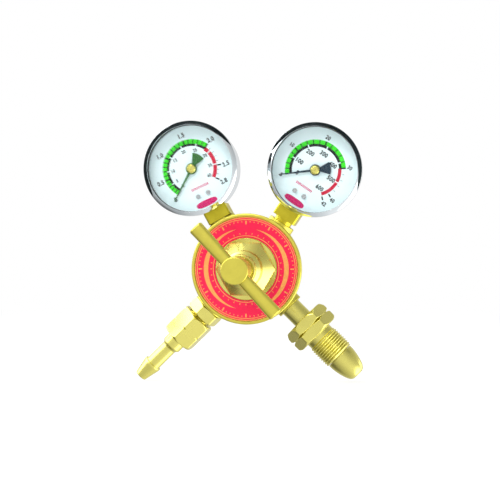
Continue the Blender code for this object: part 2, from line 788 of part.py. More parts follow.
def add_inlet(line):
    thread_end = PORT_BOTTOM + GAP
    filter_end = thread_end + FILTER_LENGTH
    arc_steps = 5
    outline = [
        (FILTER_R + GAP, thread_end),
        (PORT_THREAD_R, thread_end),
        (PORT_THREAD_R, SEAT),
        (TUBE_R, SEAT),
        (TUBE_R, NOSE_BACK),
        (NOSE_R, NOSE_BACK),
        (NOSE_R, NOSE_BACK + NOSE_COLLAR),
    ]
    curve = NOSE_LENGTH - NOSE_COLLAR
    for k in range(1, arc_steps + 1):
        share = k / arc_steps
        radius = NOSE_R + (NOSE_TIP_R - NOSE_R) * (1 - math.sqrt(1 - share**2)) ** NOSE_FULLNESS
        outline.append((radius, NOSE_BACK + NOSE_COLLAR + curve * share))
    outline += [
        (INLET_BORE_R, NOSE_TIP),
        (INLET_BORE_R, filter_end + GAP),
        (FILTER_R + GAP, filter_end + GAP),
    ]
    add_piece("inlet_stem", turned(outline, MEDIUM), MACHINED_BRASS, line)
    add_piece("inlet_filter", rod(FILTER_R, thread_end, filter_end, SMALL), BRONZE, line)


def add_inlet_nut(line):
    corner = NUT_FLATS / math.sqrt(3)
    hex_front = NUT_BACK + NUT_HEX
    middle = NUT_BACK + NUT_HEX / 2
    thread_start = hex_front + NUT_RELIEF
    outline = [
        (TUBE_R + PLAY, NUT_BACK),
        (corner - EDGE, NUT_BACK),
        (corner, NUT_BACK + EDGE / 2),
        (corner, middle - NOTCH),
        (corner - 2 * NOTCH, middle),
        (corner, middle + NOTCH),
        (corner, hex_front - EDGE / 2),
        (corner - EDGE, hex_front),
        (NUT_RELIEF_R, hex_front),
    ]
    outline += ridges(NUT_THREAD_R, NUT_THREAD_DEPTH, NUT_PITCH, thread_start, NUT_THREADS)
    outline.append((TUBE_R + PLAY, NUT_FRONT))
    nut = add_piece("inlet_nut", turned(outline, MEDIUM), MACHINED_BRASS, line)
    sleeve = hexagon_sleeve(NUT_FLATS, NUT_BACK - EDGE, hex_front + GAP)
    cut(nut, sleeve, turn=(0, 0, NUT_TURN))


def add_outlet_connector(line):
    corner = CONNECTOR_FLATS / math.sqrt(3)
    thread_end = PORT_BOTTOM + GAP
    outline = [
        (OUTLET_BORE_R, thread_end),
        (PORT_THREAD_R, thread_end),
        (PORT_THREAD_R, SEAT),
        (corner - EDGE / 2, SEAT),
        (corner, SEAT + EDGE / 2),
        (corner, CONNECTOR_FRONT - EDGE / 2),
        (corner - EDGE / 2, CONNECTOR_FRONT),
        (CONNECTOR_THREAD_R, CONNECTOR_FRONT),
        (CONNECTOR_THREAD_R, CONNECTOR_END),
        (CONNECTOR_SEAT_R, CONNECTOR_END),
        (OUTLET_BORE_R, CONNECTOR_END - (CONNECTOR_SEAT_R - OUTLET_BORE_R)),
    ]
    connector = add_piece("outlet_connector", turned(outline, MEDIUM), MACHINED_BRASS, line)
    sleeve = hexagon_sleeve(CONNECTOR_FLATS, SEAT - GAP, CONNECTOR_FRONT + GAP)
    cut(connector, sleeve, turn=(0, 0, CONNECTOR_TURN))


def add_outlet_nut(line):
    corner = OUTLET_NUT_FLATS / math.sqrt(3)
    middle = (OUTLET_NUT_BACK + OUTLET_NUT_FRONT) / 2
    outline = [
        (CONNECTOR_THREAD_R + PLAY, OUTLET_NUT_BACK),
        (corner - EDGE, OUTLET_NUT_BACK),
        (corner, OUTLET_NUT_BACK + EDGE / 2),
        (corner, middle - NOTCH),
        (corner - NOTCH, middle),
        (corner, middle + NOTCH),
        (corner, OUTLET_NUT_FRONT - EDGE / 2),
        (corner - EDGE, OUTLET_NUT_FRONT),
        (TAIL_NECK_R + PLAY, OUTLET_NUT_FRONT),
        (TAIL_NECK_R + PLAY, OUTLET_NUT_SHELF),
        (CONNECTOR_THREAD_R + PLAY, OUTLET_NUT_SHELF),
    ]
    nut = add_piece("outlet_nut", turned(outline, MEDIUM), MACHINED_BRASS, line)
    sleeve = hexagon_sleeve(OUTLET_NUT_FLATS, OUTLET_NUT_BACK - EDGE, OUTLET_NUT_FRONT + EDGE)
    cut(nut, sleeve, turn=(0, 0, OUTLET_NUT_TURN))


def add_hose_tail(line):
    head_back = TAIL_HEAD_FRONT - TAIL_HEAD
    nipple_back = CONNECTOR_END + GAP
    collar_front = TAIL_COLLAR_BACK + TAIL_COLLAR
    outline = [
        (OUTLET_BORE_R, nipple_back),
        (CONNECTOR_SEAT_R, nipple_back),
        (TAIL_HEAD_R, head_back),
        (TAIL_HEAD_R, TAIL_HEAD_FRONT),
        (TAIL_NECK_R, TAIL_HEAD_FRONT),
        (TAIL_NECK_R, TAIL_COLLAR_BACK),
        (TAIL_COLLAR_R, TAIL_COLLAR_BACK),
        (TAIL_COLLAR_R, collar_front),
        (TAIL_SHANK_R, collar_front + EDGE),
        (TAIL_SHANK_R, TAIL_BARB_BACK),
        (TAIL_BARB_R, TAIL_BARB_BACK),
        (TAIL_BARB_R, TAIL_BARB_BACK + EDGE),
        (TAIL_TIP_R, TAIL_END),
        (OUTLET_BORE_R, TAIL_END),
    ]
    add_piece("hose_tail", turned(outline, MEDIUM), MACHINED_BRASS, line)


# Gauges


def add_socket(name, line, reach, standoff):
    """Stem, block and inner column: z runs from the body's axis, and -x is the dial's side."""
    column_top = reach - COLUMN_TOP
    column_foot = reach - (CASE_R - CASE_WALL - 4 * GAP)
    block_foot = PORT_FACE + standoff
    block_top = reach - STEM_BLOCK_TOP
    tip = PORT_BOTTOM + STEM_GASKET + 2 * GAP
    half = STEM_FLATS / 2
    corners = []
    for sx, sy in [(1, 1), (-1, 1), (-1, -1), (1, -1)]:
        pair = [(sx * half, sy * (half - STEM_CORNER)), (sx * (half - STEM_CORNER), sy * half)]
        corners += pair if sx * sy > 0 else pair[::-1]
    socket = add_piece(name, prism(corners, block_foot, block_top), BRIGHT_BRASS, line)
    stem = [
        (0, tip),
        (PORT_THREAD_R, tip),
        (PORT_THREAD_R, block_foot + EDGE),
        (STEM_NECK_R, block_foot + 2 * EDGE),
        (STEM_NECK_R, column_foot + EDGE),
        (0, column_foot + EDGE),
    ]
    join(socket, turned(stem, SMALL))
    low = (-COLUMN_FRONT, -COLUMN_WIDTH / 2, column_foot)
    high = (-CASE_BACK - CASE_WALL - GAP, COLUMN_WIDTH / 2, column_top)
    join(socket, box(low, high))
    cut(socket, rod(STEM_BORE_R, tip - EDGE, column_top - 2 * EDGE, TINY))
    for side in (-1, 1):
        place = (0, side * CASE_SCREW_SPREAD, reach - CASE_SCREW_DROP)
        depth = high[0] - CASE_SCREW_DEPTH
        cut(socket, rod(CASE_SCREW_R + GAP, depth, high[0] + EDGE, TINY), place, (0, 90, 0))


def add_case(name, gauge):
    inner = CASE_R - CASE_WALL
    outline = [
        (0, CASE_BACK),
        (CASE_R - EDGE, CASE_BACK),
        (CASE_R, CASE_BACK + EDGE),
        (CASE_R, CASE_FRONT),
        (inner, CASE_FRONT),
        (inner, CASE_BACK + EDGE),
        (inner - EDGE / 2, CASE_BACK + CASE_WALL),
        (0, CASE_BACK + CASE_WALL),
    ]
    case = add_piece(name, turned(outline, LARGE), CHROME, gauge)
    hole = rod(STEM_NECK_R + GAP, inner / 2, CASE_R + EDGE, SMALL)
    cut(case, hole, turn=(90, 0, 0))
    for side in (-1, 1):
        place = (side * CASE_SCREW_SPREAD, -CASE_SCREW_DROP, 0)
        drill = rod(CASE_SCREW_R + GAP, CASE_BACK - EDGE, CASE_BACK + CASE_WALL + EDGE, TINY)
        cut(case, drill, place)


def add_case_screws(prefix, gauge):
    head_front = CASE_BACK - GAP
    shank_front = CASE_BACK + CASE_WALL + CASE_SCREW_DEPTH
    outline = [
        (0, head_front - CASE_SCREW_HEAD),
        (CASE_SCREW_HEAD_R, head_front - CASE_SCREW_HEAD),
        (CASE_SCREW_HEAD_R, head_front),
        (CASE_SCREW_R, head_front),
        (CASE_SCREW_R, shank_front),
        (0, shank_front),
    ]
    for label, side in [("left", -1), ("right", 1)]:
        place = (side * CASE_SCREW_SPREAD, -CASE_SCREW_DROP, 0)
        add_piece(f"{prefix}case_screw_{label}", turned(outline, TINY), STEEL, gauge, place)


def add_bezel(name, gauge):
    inner = CASE_R + GAP
    lip_back = WINDOW_FRONT + GAP
    outline = [(inner, BEZEL_BACK), (BEZEL_R, BEZEL_BACK)]
    for angle in (0, 30, 60, 90):
        across, forward = polar(BEZEL_ROUND, angle)
        outline.append((BEZEL_R - BEZEL_ROUND + across, BEZEL_FRONT - BEZEL_ROUND + forward))
    outline += [
        (BEZEL_LIP_R + BEZEL_LIP / 2, BEZEL_FRONT),
        (BEZEL_LIP_R, lip_back + BEZEL_LIP / 2),
        (BEZEL_LIP_R, lip_back),
        (inner, lip_back),
    ]
    add_piece(name, turned(outline, LARGE), CHROME, gauge)


def add_window(prefix, gauge):
    radius = CASE_R
    ring = washer(radius - WINDOW_GASKET_WIDTH, radius, GASKET_BACK, WINDOW_BACK - GAP, MEDIUM)
    add_piece(prefix + "window_gasket", ring, RUBBER, gauge)
    add_piece(prefix + "window", rod(radius, WINDOW_BACK, WINDOW_FRONT, MEDIUM), GLASS, gauge)


def dial_screw_places():
    sides = (-90 - DIAL_SCREW_SPREAD, -90 + DIAL_SCREW_SPREAD)
    return [polar(DIAL_SCREW_PLACE, side) for side in sides]


def add_dial(prefix, dial_frame):
    disc = washer(DIAL_HOLE_R, DIAL_R, DIAL_BACK, DIAL_FRONT, MEDIUM)
    dial = add_piece(prefix + "dial", disc, WHITE_PAINT, dial_frame)
    head_back = DIAL_FRONT + GAP
    shank_back = DIAL_BACK - DIAL_SCREW_LENGTH
    outline = [
        (0, shank_back),
        (DIAL_SCREW_R, shank_back),
        (DIAL_SCREW_R, head_back),
        (DIAL_SCREW_HEAD_R, head_back),
        (DIAL_SCREW_HEAD_R, head_back + DIAL_SCREW_HEAD),
        (0, head_back + DIAL_SCREW_HEAD),
    ]
    for label, place in zip(("left", "right"), dial_screw_places()):
        drill = rod(DIAL_SCREW_R + GAP, DIAL_BACK - EDGE, DIAL_FRONT + EDGE, TINY)
        cut(dial, drill, (*place, 0))
        name = f"{prefix}dial_screw_{label}"
        add_piece(name, turned(outline, TINY), STEEL, dial_frame, (*place, 0))


def pillar_places():
    inset = PILLAR_R + GAP
    return [
        (PLATE_LEFT + inset, PLATE_HIGH - inset),
        (PLATE_RIGHT - inset, PLATE_HIGH - inset),
        (PLATE_LEFT + inset, PLATE_LOW + inset),
    ]


def sector_pivot():
    return polar(PINION_R + SECTOR_R, SECTOR_PIVOT_ANGLE)


def add_movement_frame(name, dial_frame):
    plate_front = PLATE_BACK + PLATE_SHEET
    low = (PLATE_LEFT, PLATE_LOW)
    high = (PLATE_RIGHT, PLATE_HIGH)
    frame = add_piece(name, box((*low, PLATE_BACK), (*high, plate_front)), MACHINED_BRASS,
                      dial_frame)
    tongue = TONGUE_WIDTH / 2
    foot = DIAL_SCREW_PLACE + 2 * DIAL_SCREW_HEAD_R
    top = [(-tongue, -foot), (tongue, -foot), (tongue, PLATE_LOW), (PLATE_RIGHT, PLATE_LOW)]
    top += [high, (PLATE_LEFT, PLATE_HIGH), low, (-tongue, PLATE_LOW)]
    join(frame, prism(top, TOP_PLATE_BACK, TOP_PLATE_FRONT))
    for place in pillar_places():
        overlap = PLATE_SHEET / 2
        pillar = rod(PILLAR_R, PLATE_BACK + overlap, TOP_PLATE_FRONT - overlap, TINY)
        join(frame, pillar, (*place, 0))
    for place in [(0, 0), sector_pivot()]:
        drill = rod(ARBOR_R + PLAY, PLATE_BACK - EDGE, TOP_PLATE_FRONT + EDGE, TINY)
        cut(frame, drill, (*place, 0))
    for place in dial_screw_places():
        drill = rod(DIAL_SCREW_R + GAP, TOP_PLATE_BACK - EDGE, TOP_PLATE_FRONT + EDGE, TINY)
        cut(frame, drill, (*place, 0))


def add_sector(name, dial_frame):
    """Toothed sector about its pivot; the space between two teeth faces the pinion at rest."""
    facing = SECTOR_PIVOT_ANGLE + 180
    teeth = PINION_TEETH * GEAR_RATIO
    pitch = 360 / teeth
    hub = polar(SECTOR_HUB_R, TAIL_ARM_ANGLE + 90)
    corners = stadium((0, 0), polar(TAIL_ARM, TAIL_ARM_ANGLE), TAIL_ARM_R)
    corners = corners[: len(corners) // 2]
    corners.append(hub)
    first = facing + (SPARE_TEETH - 0.5) * pitch - (SECTOR_TEETH - 1) * pitch
    rim = []
    for k in range(SECTOR_TEETH):
        rim += tooth(SECTOR_R, first + k * pitch, teeth)[::-1]
    corners += rim
    corners.append((-hub[0], -hub[1]))
    sector = add_piece(name, prism(corners, SECTOR_BACK, SECTOR_FRONT), MACHINED_BRASS,
                       dial_frame, (*sector_pivot(), 0))
    join(sector, rod(ARBOR_R, PLATE_BACK + GAP, TOP_PLATE_FRONT - GAP, TINY))
    hole = rod(ARBOR_R + PLAY, SECTOR_BACK - EDGE, SECTOR_FRONT + EDGE, TINY)
    cut(sector, hole, (*polar(TAIL_ARM, TAIL_ARM_ANGLE), 0))


def add_pinion(name, dial_frame):
    """Arbor with the pinion cut on it; one tooth points at the sector's pivot at rest."""
    corners = []
    for k in range(PINION_TEETH):
        corners += tooth(PINION_R, SECTOR_PIVOT_ANGLE - 360 * k / PINION_TEETH, PINION_TEETH)
    low = SECTOR_BACK - PINION_OVERHANG
    pinion = add_piece(name, prism(corners, low, SECTOR_FRONT + PINION_OVERHANG),
                       MACHINED_BRASS, dial_frame)
    top = POINTER_FRONT + BOSS_HEIGHT / 2
    join(pinion, rod(ARBOR_R, PLATE_BACK + GAP, top, TINY))


def link_ends():
    """Tail pin of the sector and tip pin of the tube, from the dial's centre."""
    pivot = sector_pivot()
    arm = polar(TAIL_ARM, TAIL_ARM_ANGLE)
    return (pivot[0] + arm[0], pivot[1] + arm[1]), polar(BOURDON_R, LINK_TIP_ANGLE)


def add_link(name, dial_frame):
    start, end = link_ends()
    along = (end[0] - start[0], end[1] - start[1])
    bar = prism(stadium((0, 0), along, LINK_WIDTH / 2), LINK_BACK, LINK_FRONT)
    link = add_piece(name, bar, MACHINED_BRASS, dial_frame, (*start, 0))
    for place in [(0, 0), along]:
        join(link, rod(ARBOR_R, SECTOR_BACK - GAP, LINK_BACK + LINK_THICK / 2, TINY), (*place, 0))


def add_bourdon_tube(name, dial_frame, twist):
    """Flattened tube bent round the dial, from the socket's column to the lug at its tip."""
    clearance = COLUMN_WIDTH / 2 + 2 * GAP
    start = -90 - math.degrees(math.asin(clearance / (BOURDON_R - BOURDON_THICK / 2))) - twist
    end = BOURDON_TIP_ANGLE - 360
    steps = 22
    path = []
    for k in range(steps + 1):
        outward = Vector((*polar(1, start + (end - start) * k / steps), 0))
        path.append((outward * BOURDON_R, outward))
    half = BOURDON_THICK / 2
    tall = BOURDON_WIDTH / 2
    flat = BOURDON_FLAT * tall
    section = [(0, -tall), (half, -flat), (half, flat), (0, tall), (-half, flat), (-half, -flat)]
    section = [(out, up + BOURDON_CENTRE) for out, up in section]
    tube = add_piece(name, swept(path, section), BRONZE, dial_frame)
    root = polar(BOURDON_R, BOURDON_TIP_ANGLE + 2)
    tip = polar(BOURDON_R, LINK_TIP_ANGLE)
    lug = prism(stadium(root, tip, TAIL_ARM_R), BOURDON_CENTRE, SECTOR_FRONT)
    join(tube, lug)
    hole = rod(ARBOR_R + PLAY, BOURDON_CENTRE - EDGE, SECTOR_FRONT + EDGE, TINY)
    cut(tube, hole, (*tip, 0))


def add_pointer(prefix, dial_frame, zero):
    """Pointer along +y before it is turned to its zero."""
    hub = POINTER_HUB_R
    taper = hub + EDGE
    blade = [
        (POINTER_TIP_HALF_WIDTH, POINTER_TIP),
        (-POINTER_TIP_HALF_WIDTH, POINTER_TIP),
        (-POINTER_HALF_WIDTH, taper),
    ]
    blade.append(polar(hub, 90 + POINTER_TAIL_SPREAD))
    corners = blade + [polar(hub, 90 + step) for step in (60, 100, 140)]
    tail = [-POINTER_TAIL_SPREAD, -POINTER_TAIL_SPREAD / 2, 0, POINTER_TAIL_SPREAD / 2,
            POINTER_TAIL_SPREAD]
    corners += [polar(POINTER_TAIL, -90 + step) for step in tail]
    corners += [polar(hub, -90 + step) for step in (40, 80, 120)]
    corners.append(polar(hub, 90 - POINTER_TAIL_SPREAD))
    corners.append((POINTER_HALF_WIDTH, taper))
    turn = (0, 0, 180 - zero)
    pointer = add_piece(prefix + "pointer", prism(corners, POINTER_BACK, POINTER_FRONT),
                        BLACK_PAINT, dial_frame, turn=turn)
    cut(pointer, rod(ARBOR_R + GAP, POINTER_BACK - EDGE, POINTER_FRONT + EDGE, TINY))
    boss_back = POINTER_FRONT + GAP
    boss_front = boss_back + BOSS_HEIGHT
    pocket_end = POINTER_FRONT + BOSS_HEIGHT / 2 + GAP
    outline = [
        (ARBOR_R + GAP, boss_back),
        (BOSS_R, boss_back),
        (BOSS_R, boss_front - BOSS_HEIGHT / 2),
        (BOSS_R - BOSS_HEIGHT / 2, boss_front),
        (0, boss_front),
        (0, pocket_end),
        (ARBOR_R + GAP, pocket_end),
    ]
    add_piece(prefix + "pointer_boss", turned(outline, SMALL), MACHINED_BRASS, dial_frame)


def add_gauge(prefix, front, line, plane, angle, reach, standoff, twist, zero):
    gauge = add_empty(prefix + "gauge", front, (*polar(reach, angle), plane), (0, 0, angle - 90))
    dial_frame = add_empty(prefix + "dial_frame", gauge, turn=(0, 0, twist))
    add_socket(prefix + "socket", line, reach, standoff)
    gasket = washer(STEM_GASKET_HOLE_R, PORT_THREAD_R, PORT_BOTTOM + GAP,
                    PORT_BOTTOM + GAP + STEM_GASKET, SMALL)
    add_piece(prefix + "stem_gasket", gasket, FIBRE, line)
    add_case(prefix + "case", gauge)
    add_case_screws(prefix, gauge)
    add_bezel(prefix + "bezel", gauge)
    add_window(prefix, gauge)
    add_dial(prefix, dial_frame)
    add_movement_frame(prefix + "movement_frame", dial_frame)
    add_sector(prefix + "sector", dial_frame)
    add_pinion(prefix + "pinion_arbor", dial_frame)
    add_link(prefix + "link", dial_frame)
    add_bourdon_tube(prefix + "bourdon_tube", dial_frame, twist)
    add_pointer(prefix, dial_frame, zero)


def add_line(name, front, angle, plane):
    """An empty whose z axis runs outwards from the body's axis at an angle."""
    return add_empty(name, front, (0, 0, plane), (0, 90, angle))


def main():
    clear_scene()
    across, up = polar(NOSE_TIP, INLET_ANGLE)
    front = add_empty("front", place=(-across, 0, -up), turn=(90, 0, 0))
    inlet = add_line("inlet_line", front, INLET_ANGLE, 0)
    outlet = add_line("outlet_line", front, OUTLET_ANGLE, LOW_PLANE)
    low_port = add_line("low_gauge_line", front, LOW_GAUGE_ANGLE, LOW_PLANE)
    high_port = add_line("high_gauge_line", front, HIGH_GAUGE_ANGLE, 0)
    in_rim = BODY_R - RIM_WIDTH / 2
    in_rear = BODY_REAR_R - RIM_WIDTH
    lines = [
        (inlet, INLET_BOSS_R, in_rear, HIGH_CHAMBER_R),
        (outlet, OUTLET_BOSS_R, in_rim, LOW_CHAMBER_R),
        (low_port, GAUGE_BOSS_R, in_rim, LOW_CHAMBER_R),
        (high_port, GAUGE_BOSS_R, in_rear, HIGH_CHAMBER_R),
    ]
    add_body(front, lines)
    add_label(front)
    add_diaphragm_stack(front)
    add_valve(front)
    add_rear_plug(front)
    add_bonnet(front)
    add_main_spring(front)
    add_spring_button(front)
    add_adjusting_screw(front)
    add_t_handle(front)
    add_inlet(inlet)
    add_inlet_nut(inlet)
    add_outlet_connector(outlet)
    add_outlet_nut(outlet)
    add_hose_tail(outlet)
    add_gauge("low_", front, low_port, LOW_PLANE, LOW_GAUGE_ANGLE, LOW_REACH, LOW_STANDOFF,
              LOW_DIAL_TWIST, LOW_ZERO)
    add_gauge("high_", front, high_port, 0, HIGH_GAUGE_ANGLE, HIGH_REACH, HIGH_STANDOFF,
              HIGH_DIAL_TWIST, HIGH_ZERO)


main()
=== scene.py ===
"""Look of a two-gauge gas pressure regulator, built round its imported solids.

Pieces are modelled in millimetres in their own frames and placed by the frame's joints. A line runs
out of the body: its z is the distance from the body's axis and its x points to the back. A gauge
has z towards the viewer and y away from the body. Angles on a dial run clockwise from its own down
direction. Outlines are half sections of (radius, z, rounding) corners.
"""

import json
import math

import bmesh
import bpy
from mathutils import Matrix, Vector


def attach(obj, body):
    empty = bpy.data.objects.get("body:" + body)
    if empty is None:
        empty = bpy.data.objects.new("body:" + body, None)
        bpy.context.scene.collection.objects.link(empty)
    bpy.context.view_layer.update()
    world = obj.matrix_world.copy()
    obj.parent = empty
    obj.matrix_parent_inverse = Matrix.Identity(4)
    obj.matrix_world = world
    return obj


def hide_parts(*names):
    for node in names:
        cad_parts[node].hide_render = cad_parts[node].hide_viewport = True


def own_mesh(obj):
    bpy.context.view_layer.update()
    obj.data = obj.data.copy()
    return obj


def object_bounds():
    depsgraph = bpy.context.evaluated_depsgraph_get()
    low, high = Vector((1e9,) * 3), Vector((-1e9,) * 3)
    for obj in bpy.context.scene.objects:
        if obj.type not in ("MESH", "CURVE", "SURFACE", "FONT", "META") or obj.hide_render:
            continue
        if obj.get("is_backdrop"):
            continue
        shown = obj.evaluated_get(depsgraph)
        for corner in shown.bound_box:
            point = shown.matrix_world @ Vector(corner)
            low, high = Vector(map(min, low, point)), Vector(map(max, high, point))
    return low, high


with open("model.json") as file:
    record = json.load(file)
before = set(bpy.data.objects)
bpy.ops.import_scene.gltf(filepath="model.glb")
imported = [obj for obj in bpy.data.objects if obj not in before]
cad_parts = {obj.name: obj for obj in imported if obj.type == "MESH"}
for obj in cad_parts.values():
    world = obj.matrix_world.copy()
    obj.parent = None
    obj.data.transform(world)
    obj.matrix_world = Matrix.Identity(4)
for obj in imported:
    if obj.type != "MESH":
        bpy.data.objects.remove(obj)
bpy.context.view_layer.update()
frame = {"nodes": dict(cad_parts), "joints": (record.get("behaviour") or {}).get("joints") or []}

bl_info = {
    "name": "Gas regulator looks",
    "version": (1, 0, 0),
    "blender": (4, 5, 0),
    "location": "View3D > Sidebar > Regulator",
    "description": "Dresses a two-gauge gas pressure regulator",
    "category": "Object",
}

MM = 0.001
SIDES = 144
DETAIL = 0.5  # step along a sloped outline
CLEARANCE = 0.3  # between pieces that fit into each other
HAIR = 0.01  # keeps a comparison of heights or radii clear of rounding
OWN_PLACE = "own place"  # attribute: a point's place in its piece's own frame
HANDS = {"left": -1, "right": 1}
JOINTS = {joint["name"]: joint for joint in frame["joints"]}
BODY_AXIS = Vector(JOINTS["adjuster_turn"]["pos_m"])

# Body
BODY_R = 37.6
REAR_R = 34.0
RIM_DEPTH = 4.5
WALL_FOOT_R = 34.8
SHOULDER = 1.0
SHOULDER_BACK = -2.6
REAR_CORNER_R = 32.8
RIM_FRONT = 26.3
RIM_WIDTH = 2.2
LABEL_FLOOR = 25.2
LABEL_HOLE_R = 21.1
BACK = -14.0
PLUG_HOLE_R = 10.0
PLUG_FLOOR = -9.0
PLUG_FLATS = 22.0
WASHER_R = 12.2
HIGH_CHAMBER_R = 8.0
WEB_BACK = 5.5
WEB_FRONT = 9.5
NOZZLE_HOLE_R = 5.3
LOW_CHAMBER_R = 15.5
DIAPHRAGM_SEAT = 16.9
BONNET_HOLE_R = 18.3
PORT_FACE = 38.2
PORT_DEPTH = 12.2
PORT_HOLE_R = 6.7
PORT_THREAD_R = 6.4
CHANNEL_R = 1.9
GAUGE_BOSS_R = 9.6
OUTLET_BOSS_R = 11.4
SEAT = 38.5  # face of what screws into a port

# Gold lines of the label: inner radii of its rings, and (inner radius, outer radius, width) of its
# ticks
LABEL_RINGS = (34.4, 33.2, 22.2)
LABEL_LINE = 0.45
LABEL_TICKS = {"bold": (30.2, 32.6, 0.9), "fine": (31.6, 32.5, 0.5), "inner": (23.4, 24.5, 0.45)}
CRESCENT_R = 27.5
CRESCENT_ARC = 150
CRESCENT_HALF_WIDTH = 1.5

# Bonnet and T-screw
FLANGE_R = 20.7
HEX_FOOT = 26.8
CONE_FOOT = 27.6
TOWER_FOOT_R = 12.8  # the cone's upper end, where the spring's tower starts
TOWER_FOOT = 35.1
TOWER_R = 12.5
TOWER_TOP = 43.4
NECK_FOOT = 45.8
NECK_R = 9.8
BONNET_FLATS = 35.5
BONNET_SOFTNESS = 0.1
BUTTON_TRAVEL = 6.0
VALVE_LIFT = 1.0
SPRING_BORE_R = 11.5
SPRING_ROOF = 42.5
SCREW_HOLE_R = 7.2
SCREW_R = 6.9
SCREW_PITCH = 2.0
SCREW_DEPTH = 0.9
SCREW_SHANK_R = 5.0
SCREW_POCKET_R = 2.3
SCREW_POCKET = 3.2
HUB_R = 8.85
HUB_BORE = 12.0
HUB_EDGE = 0.8
ARM_LENGTH = 76.8
ARM_WIDTH = 8.4
ARM_END_WIDTH = 9.6
ARM_DEPTH = 9.0
ARM_SETBACK = 1.4
ARM_ANGLE = 133.0
ARM_END_ROUND = 1.2
# Section of an arm as shares of its half width and half depth, round from its back
ARM_SECTION = [(-0.55, -1), (0.55, -1), (1, -0.35), (1, 0.45), (0.72, 0.85), (-0.15, 1),
               (-0.8, 0.8), (-1, 0.35), (-1, -0.35)]

# Inlet
TUBE_R = 7.15
BORE_R = 1.9
FILTER_R = 3.5
FILTER_DEPTH = 6.6
NOSE_R = 10.1
NOSE_COLLAR = 1.8
NOSE_LENGTH = 18.0
NOSE_TIP_R = 4.0
NOSE_FULLNESS = 0.8
NUT_HEX = 15.1
NUT_FLATS = 30.0
NUT_TURN = 26.1
NUT_GROOVE = 2.1  # share of the notch depth
NUT_RELIEF = 3.8
NUT_RELIEF_R = 10.2
NUT_THREAD_R = 11.45
NUT_PITCH = 1.814
NUT_THREAD_DEPTH = 0.95
NUT_HOLE_R = 7.4

# Outlet
CONNECTOR_FLATS = 21.0
CONNECTOR_TURN = 11.0
CONNECTOR_FRONT = 46.2
CONNECTOR_THREAD_R = 8.0
CONNECTOR_SEAT_R = 5.6
OUTLET_PITCH = 1.337
OUTLET_THREAD_DEPTH = 0.8
OUTLET_NUT_FLATS = 22.0
OUTLET_NUT_TURN = 4.6
OUTLET_NUT_GROOVE = 0.7  # share of the notch depth
OUTLET_NUT_HOLE_R = 8.25
TAIL_HOLE_R = 6.05
TAIL_SHELF = 62.2
TAIL_NECK_R = 5.8
TAIL_HEAD_R = 7.6
TAIL_HEAD = 4.6
TAIL_COLLAR_BACK = 69.7
TAIL_COLLAR_FRONT = 75.9
TAIL_COLLAR_R = 6.9
TAIL_SHANK_R = 5.3
TAIL_BARB_BACK = 93.8
TAIL_BARB_R = 6.5
TAIL_TIP_R = 4.1

# Gauges
CASE_R = 30.75
CASE_WALL = 0.8
CASE_BACK = -10.0
CASE_FRONT = 14.0
BEZEL_R = 32.2
BEZEL_LIP_R = 29.3
BEZEL_BACK = 8.8
BEZEL_FRONT = 18.1
BEZEL_LIP = 1.1
BEZEL_SLOPE = (22, 44)  # lean of its front, in degrees, at the lip and at the outer edge
GASKET_WIDTH = 1.7
DIAL_R = 29.65
DIAL_BACK = 9.4
DIAL_FRONT = 10.0
DIAL_HOLE_R = 1.6
DIAL_SCREW_PLACE = 19.6
DIAL_SCREW_SPREAD = 11.0
DIAL_SCREW_RADII = (1.6, 0.7)  # head and shank
DIAL_SCREW_HEAD = 0.6
CASE_SCREW_DROP = 23.0
CASE_SCREW_SPREAD = 4.2
CASE_SCREW_RADII = (2.6, 1.3)  # head and shank
CASE_SCREW_HEAD = 1.2
SLOT_DEPTH = 0.45  # share of a screw's head
STEM_FOOT = {"low_": 0.3, "high_": 2.9}  # from its port's face
STEM_FLATS = 17.0
STEM_CORNER_R = 11.25
STEM_NECK_R = 6.0
COLUMN_WIDTH = 13.0
COLUMN_FRONT = 0.5
POINTER_BACK = 10.9
POINTER_FRONT = 11.4
POINTER_TIP = 25.2
POINTER_TAIL = 10.8
POINTER_TAIL_SPREAD = 24.0
POINTER_NECK = 1.5
POINTER_HUB_R = 3.85
POINTER_HALF_WIDTH = 0.8
POINTER_TIP_HALF_WIDTH = 0.25
BOSS_R = 3.2
BOSS_BORE_R = 1.1

# Printing of each dial: marks are (value, angle), numerals are (radius, height)
DIALS = {
    "low_": {
        "twist": -4.4,
        "zero": 52.5,
        "outer": [("0", 52.5), ("0.5", 90.2), ("1.0", 136.6), ("1.5", 186.6), ("2.0", 237.6),
                  ("2.5", 286.6), ("2.8", 315.3)],
        "inner": [("0", 52.5), ("5", 76.1), ("10", 107.8), ("15", 142.0), ("20", 178.0),
                  ("25", 214.6), ("30", 250.2), ("35", 283.8), ("40", 315.3)],
        "splits": [5, 5, 5, 5, 5, 3],
        "red_from": 4,
        "green": (17.2, 20.25),
        "black": (15.6, 17.2),
        "red": (14.9, 17.6),
        "outer_numerals": (23.7, 3.3),
        "inner_numerals": (12.9, 2.5),
    },
    "high_": {
        "twist": -0.6,
        "zero": 48.8,
        "outer": [("0", 48.8), ("10", 103.4), ("20", 167.4), ("30", 232.4), ("40", 296.4),
                  ("42", 311.6)],
        "inner": [("0", 48.8), ("100", 86.0), ("200", 129.8), ("300", 174.0), ("400", 219.4),
                  ("500", 265.4), ("600", 311.6)],
        "splits": [5, 5, 5, 5, 1],
        "red_from": 3,
        "green": (18.0, 20.9),
        "black": (16.1, 18.0),
        "red": (15.5, 17.9),
        "outer_numerals": (23.6, 2.9),
        "inner_numerals": (12.4, 3.3),
    },
}
INK_LIFT = 0.005  # under each print, so that it doesn't share the dial's face
BAND_GAP = 1.2  # degrees that the dark and red bands keep from each inner value
MARK_WIDTHS = {"main": 1.0, "fine": 0.6, "red": 0.3}
FIGURE_SPACING = 1.12
FIGURE_WEIGHT = 0.045
FIGURE_WIDTH = 0.85  # share of the font's own width
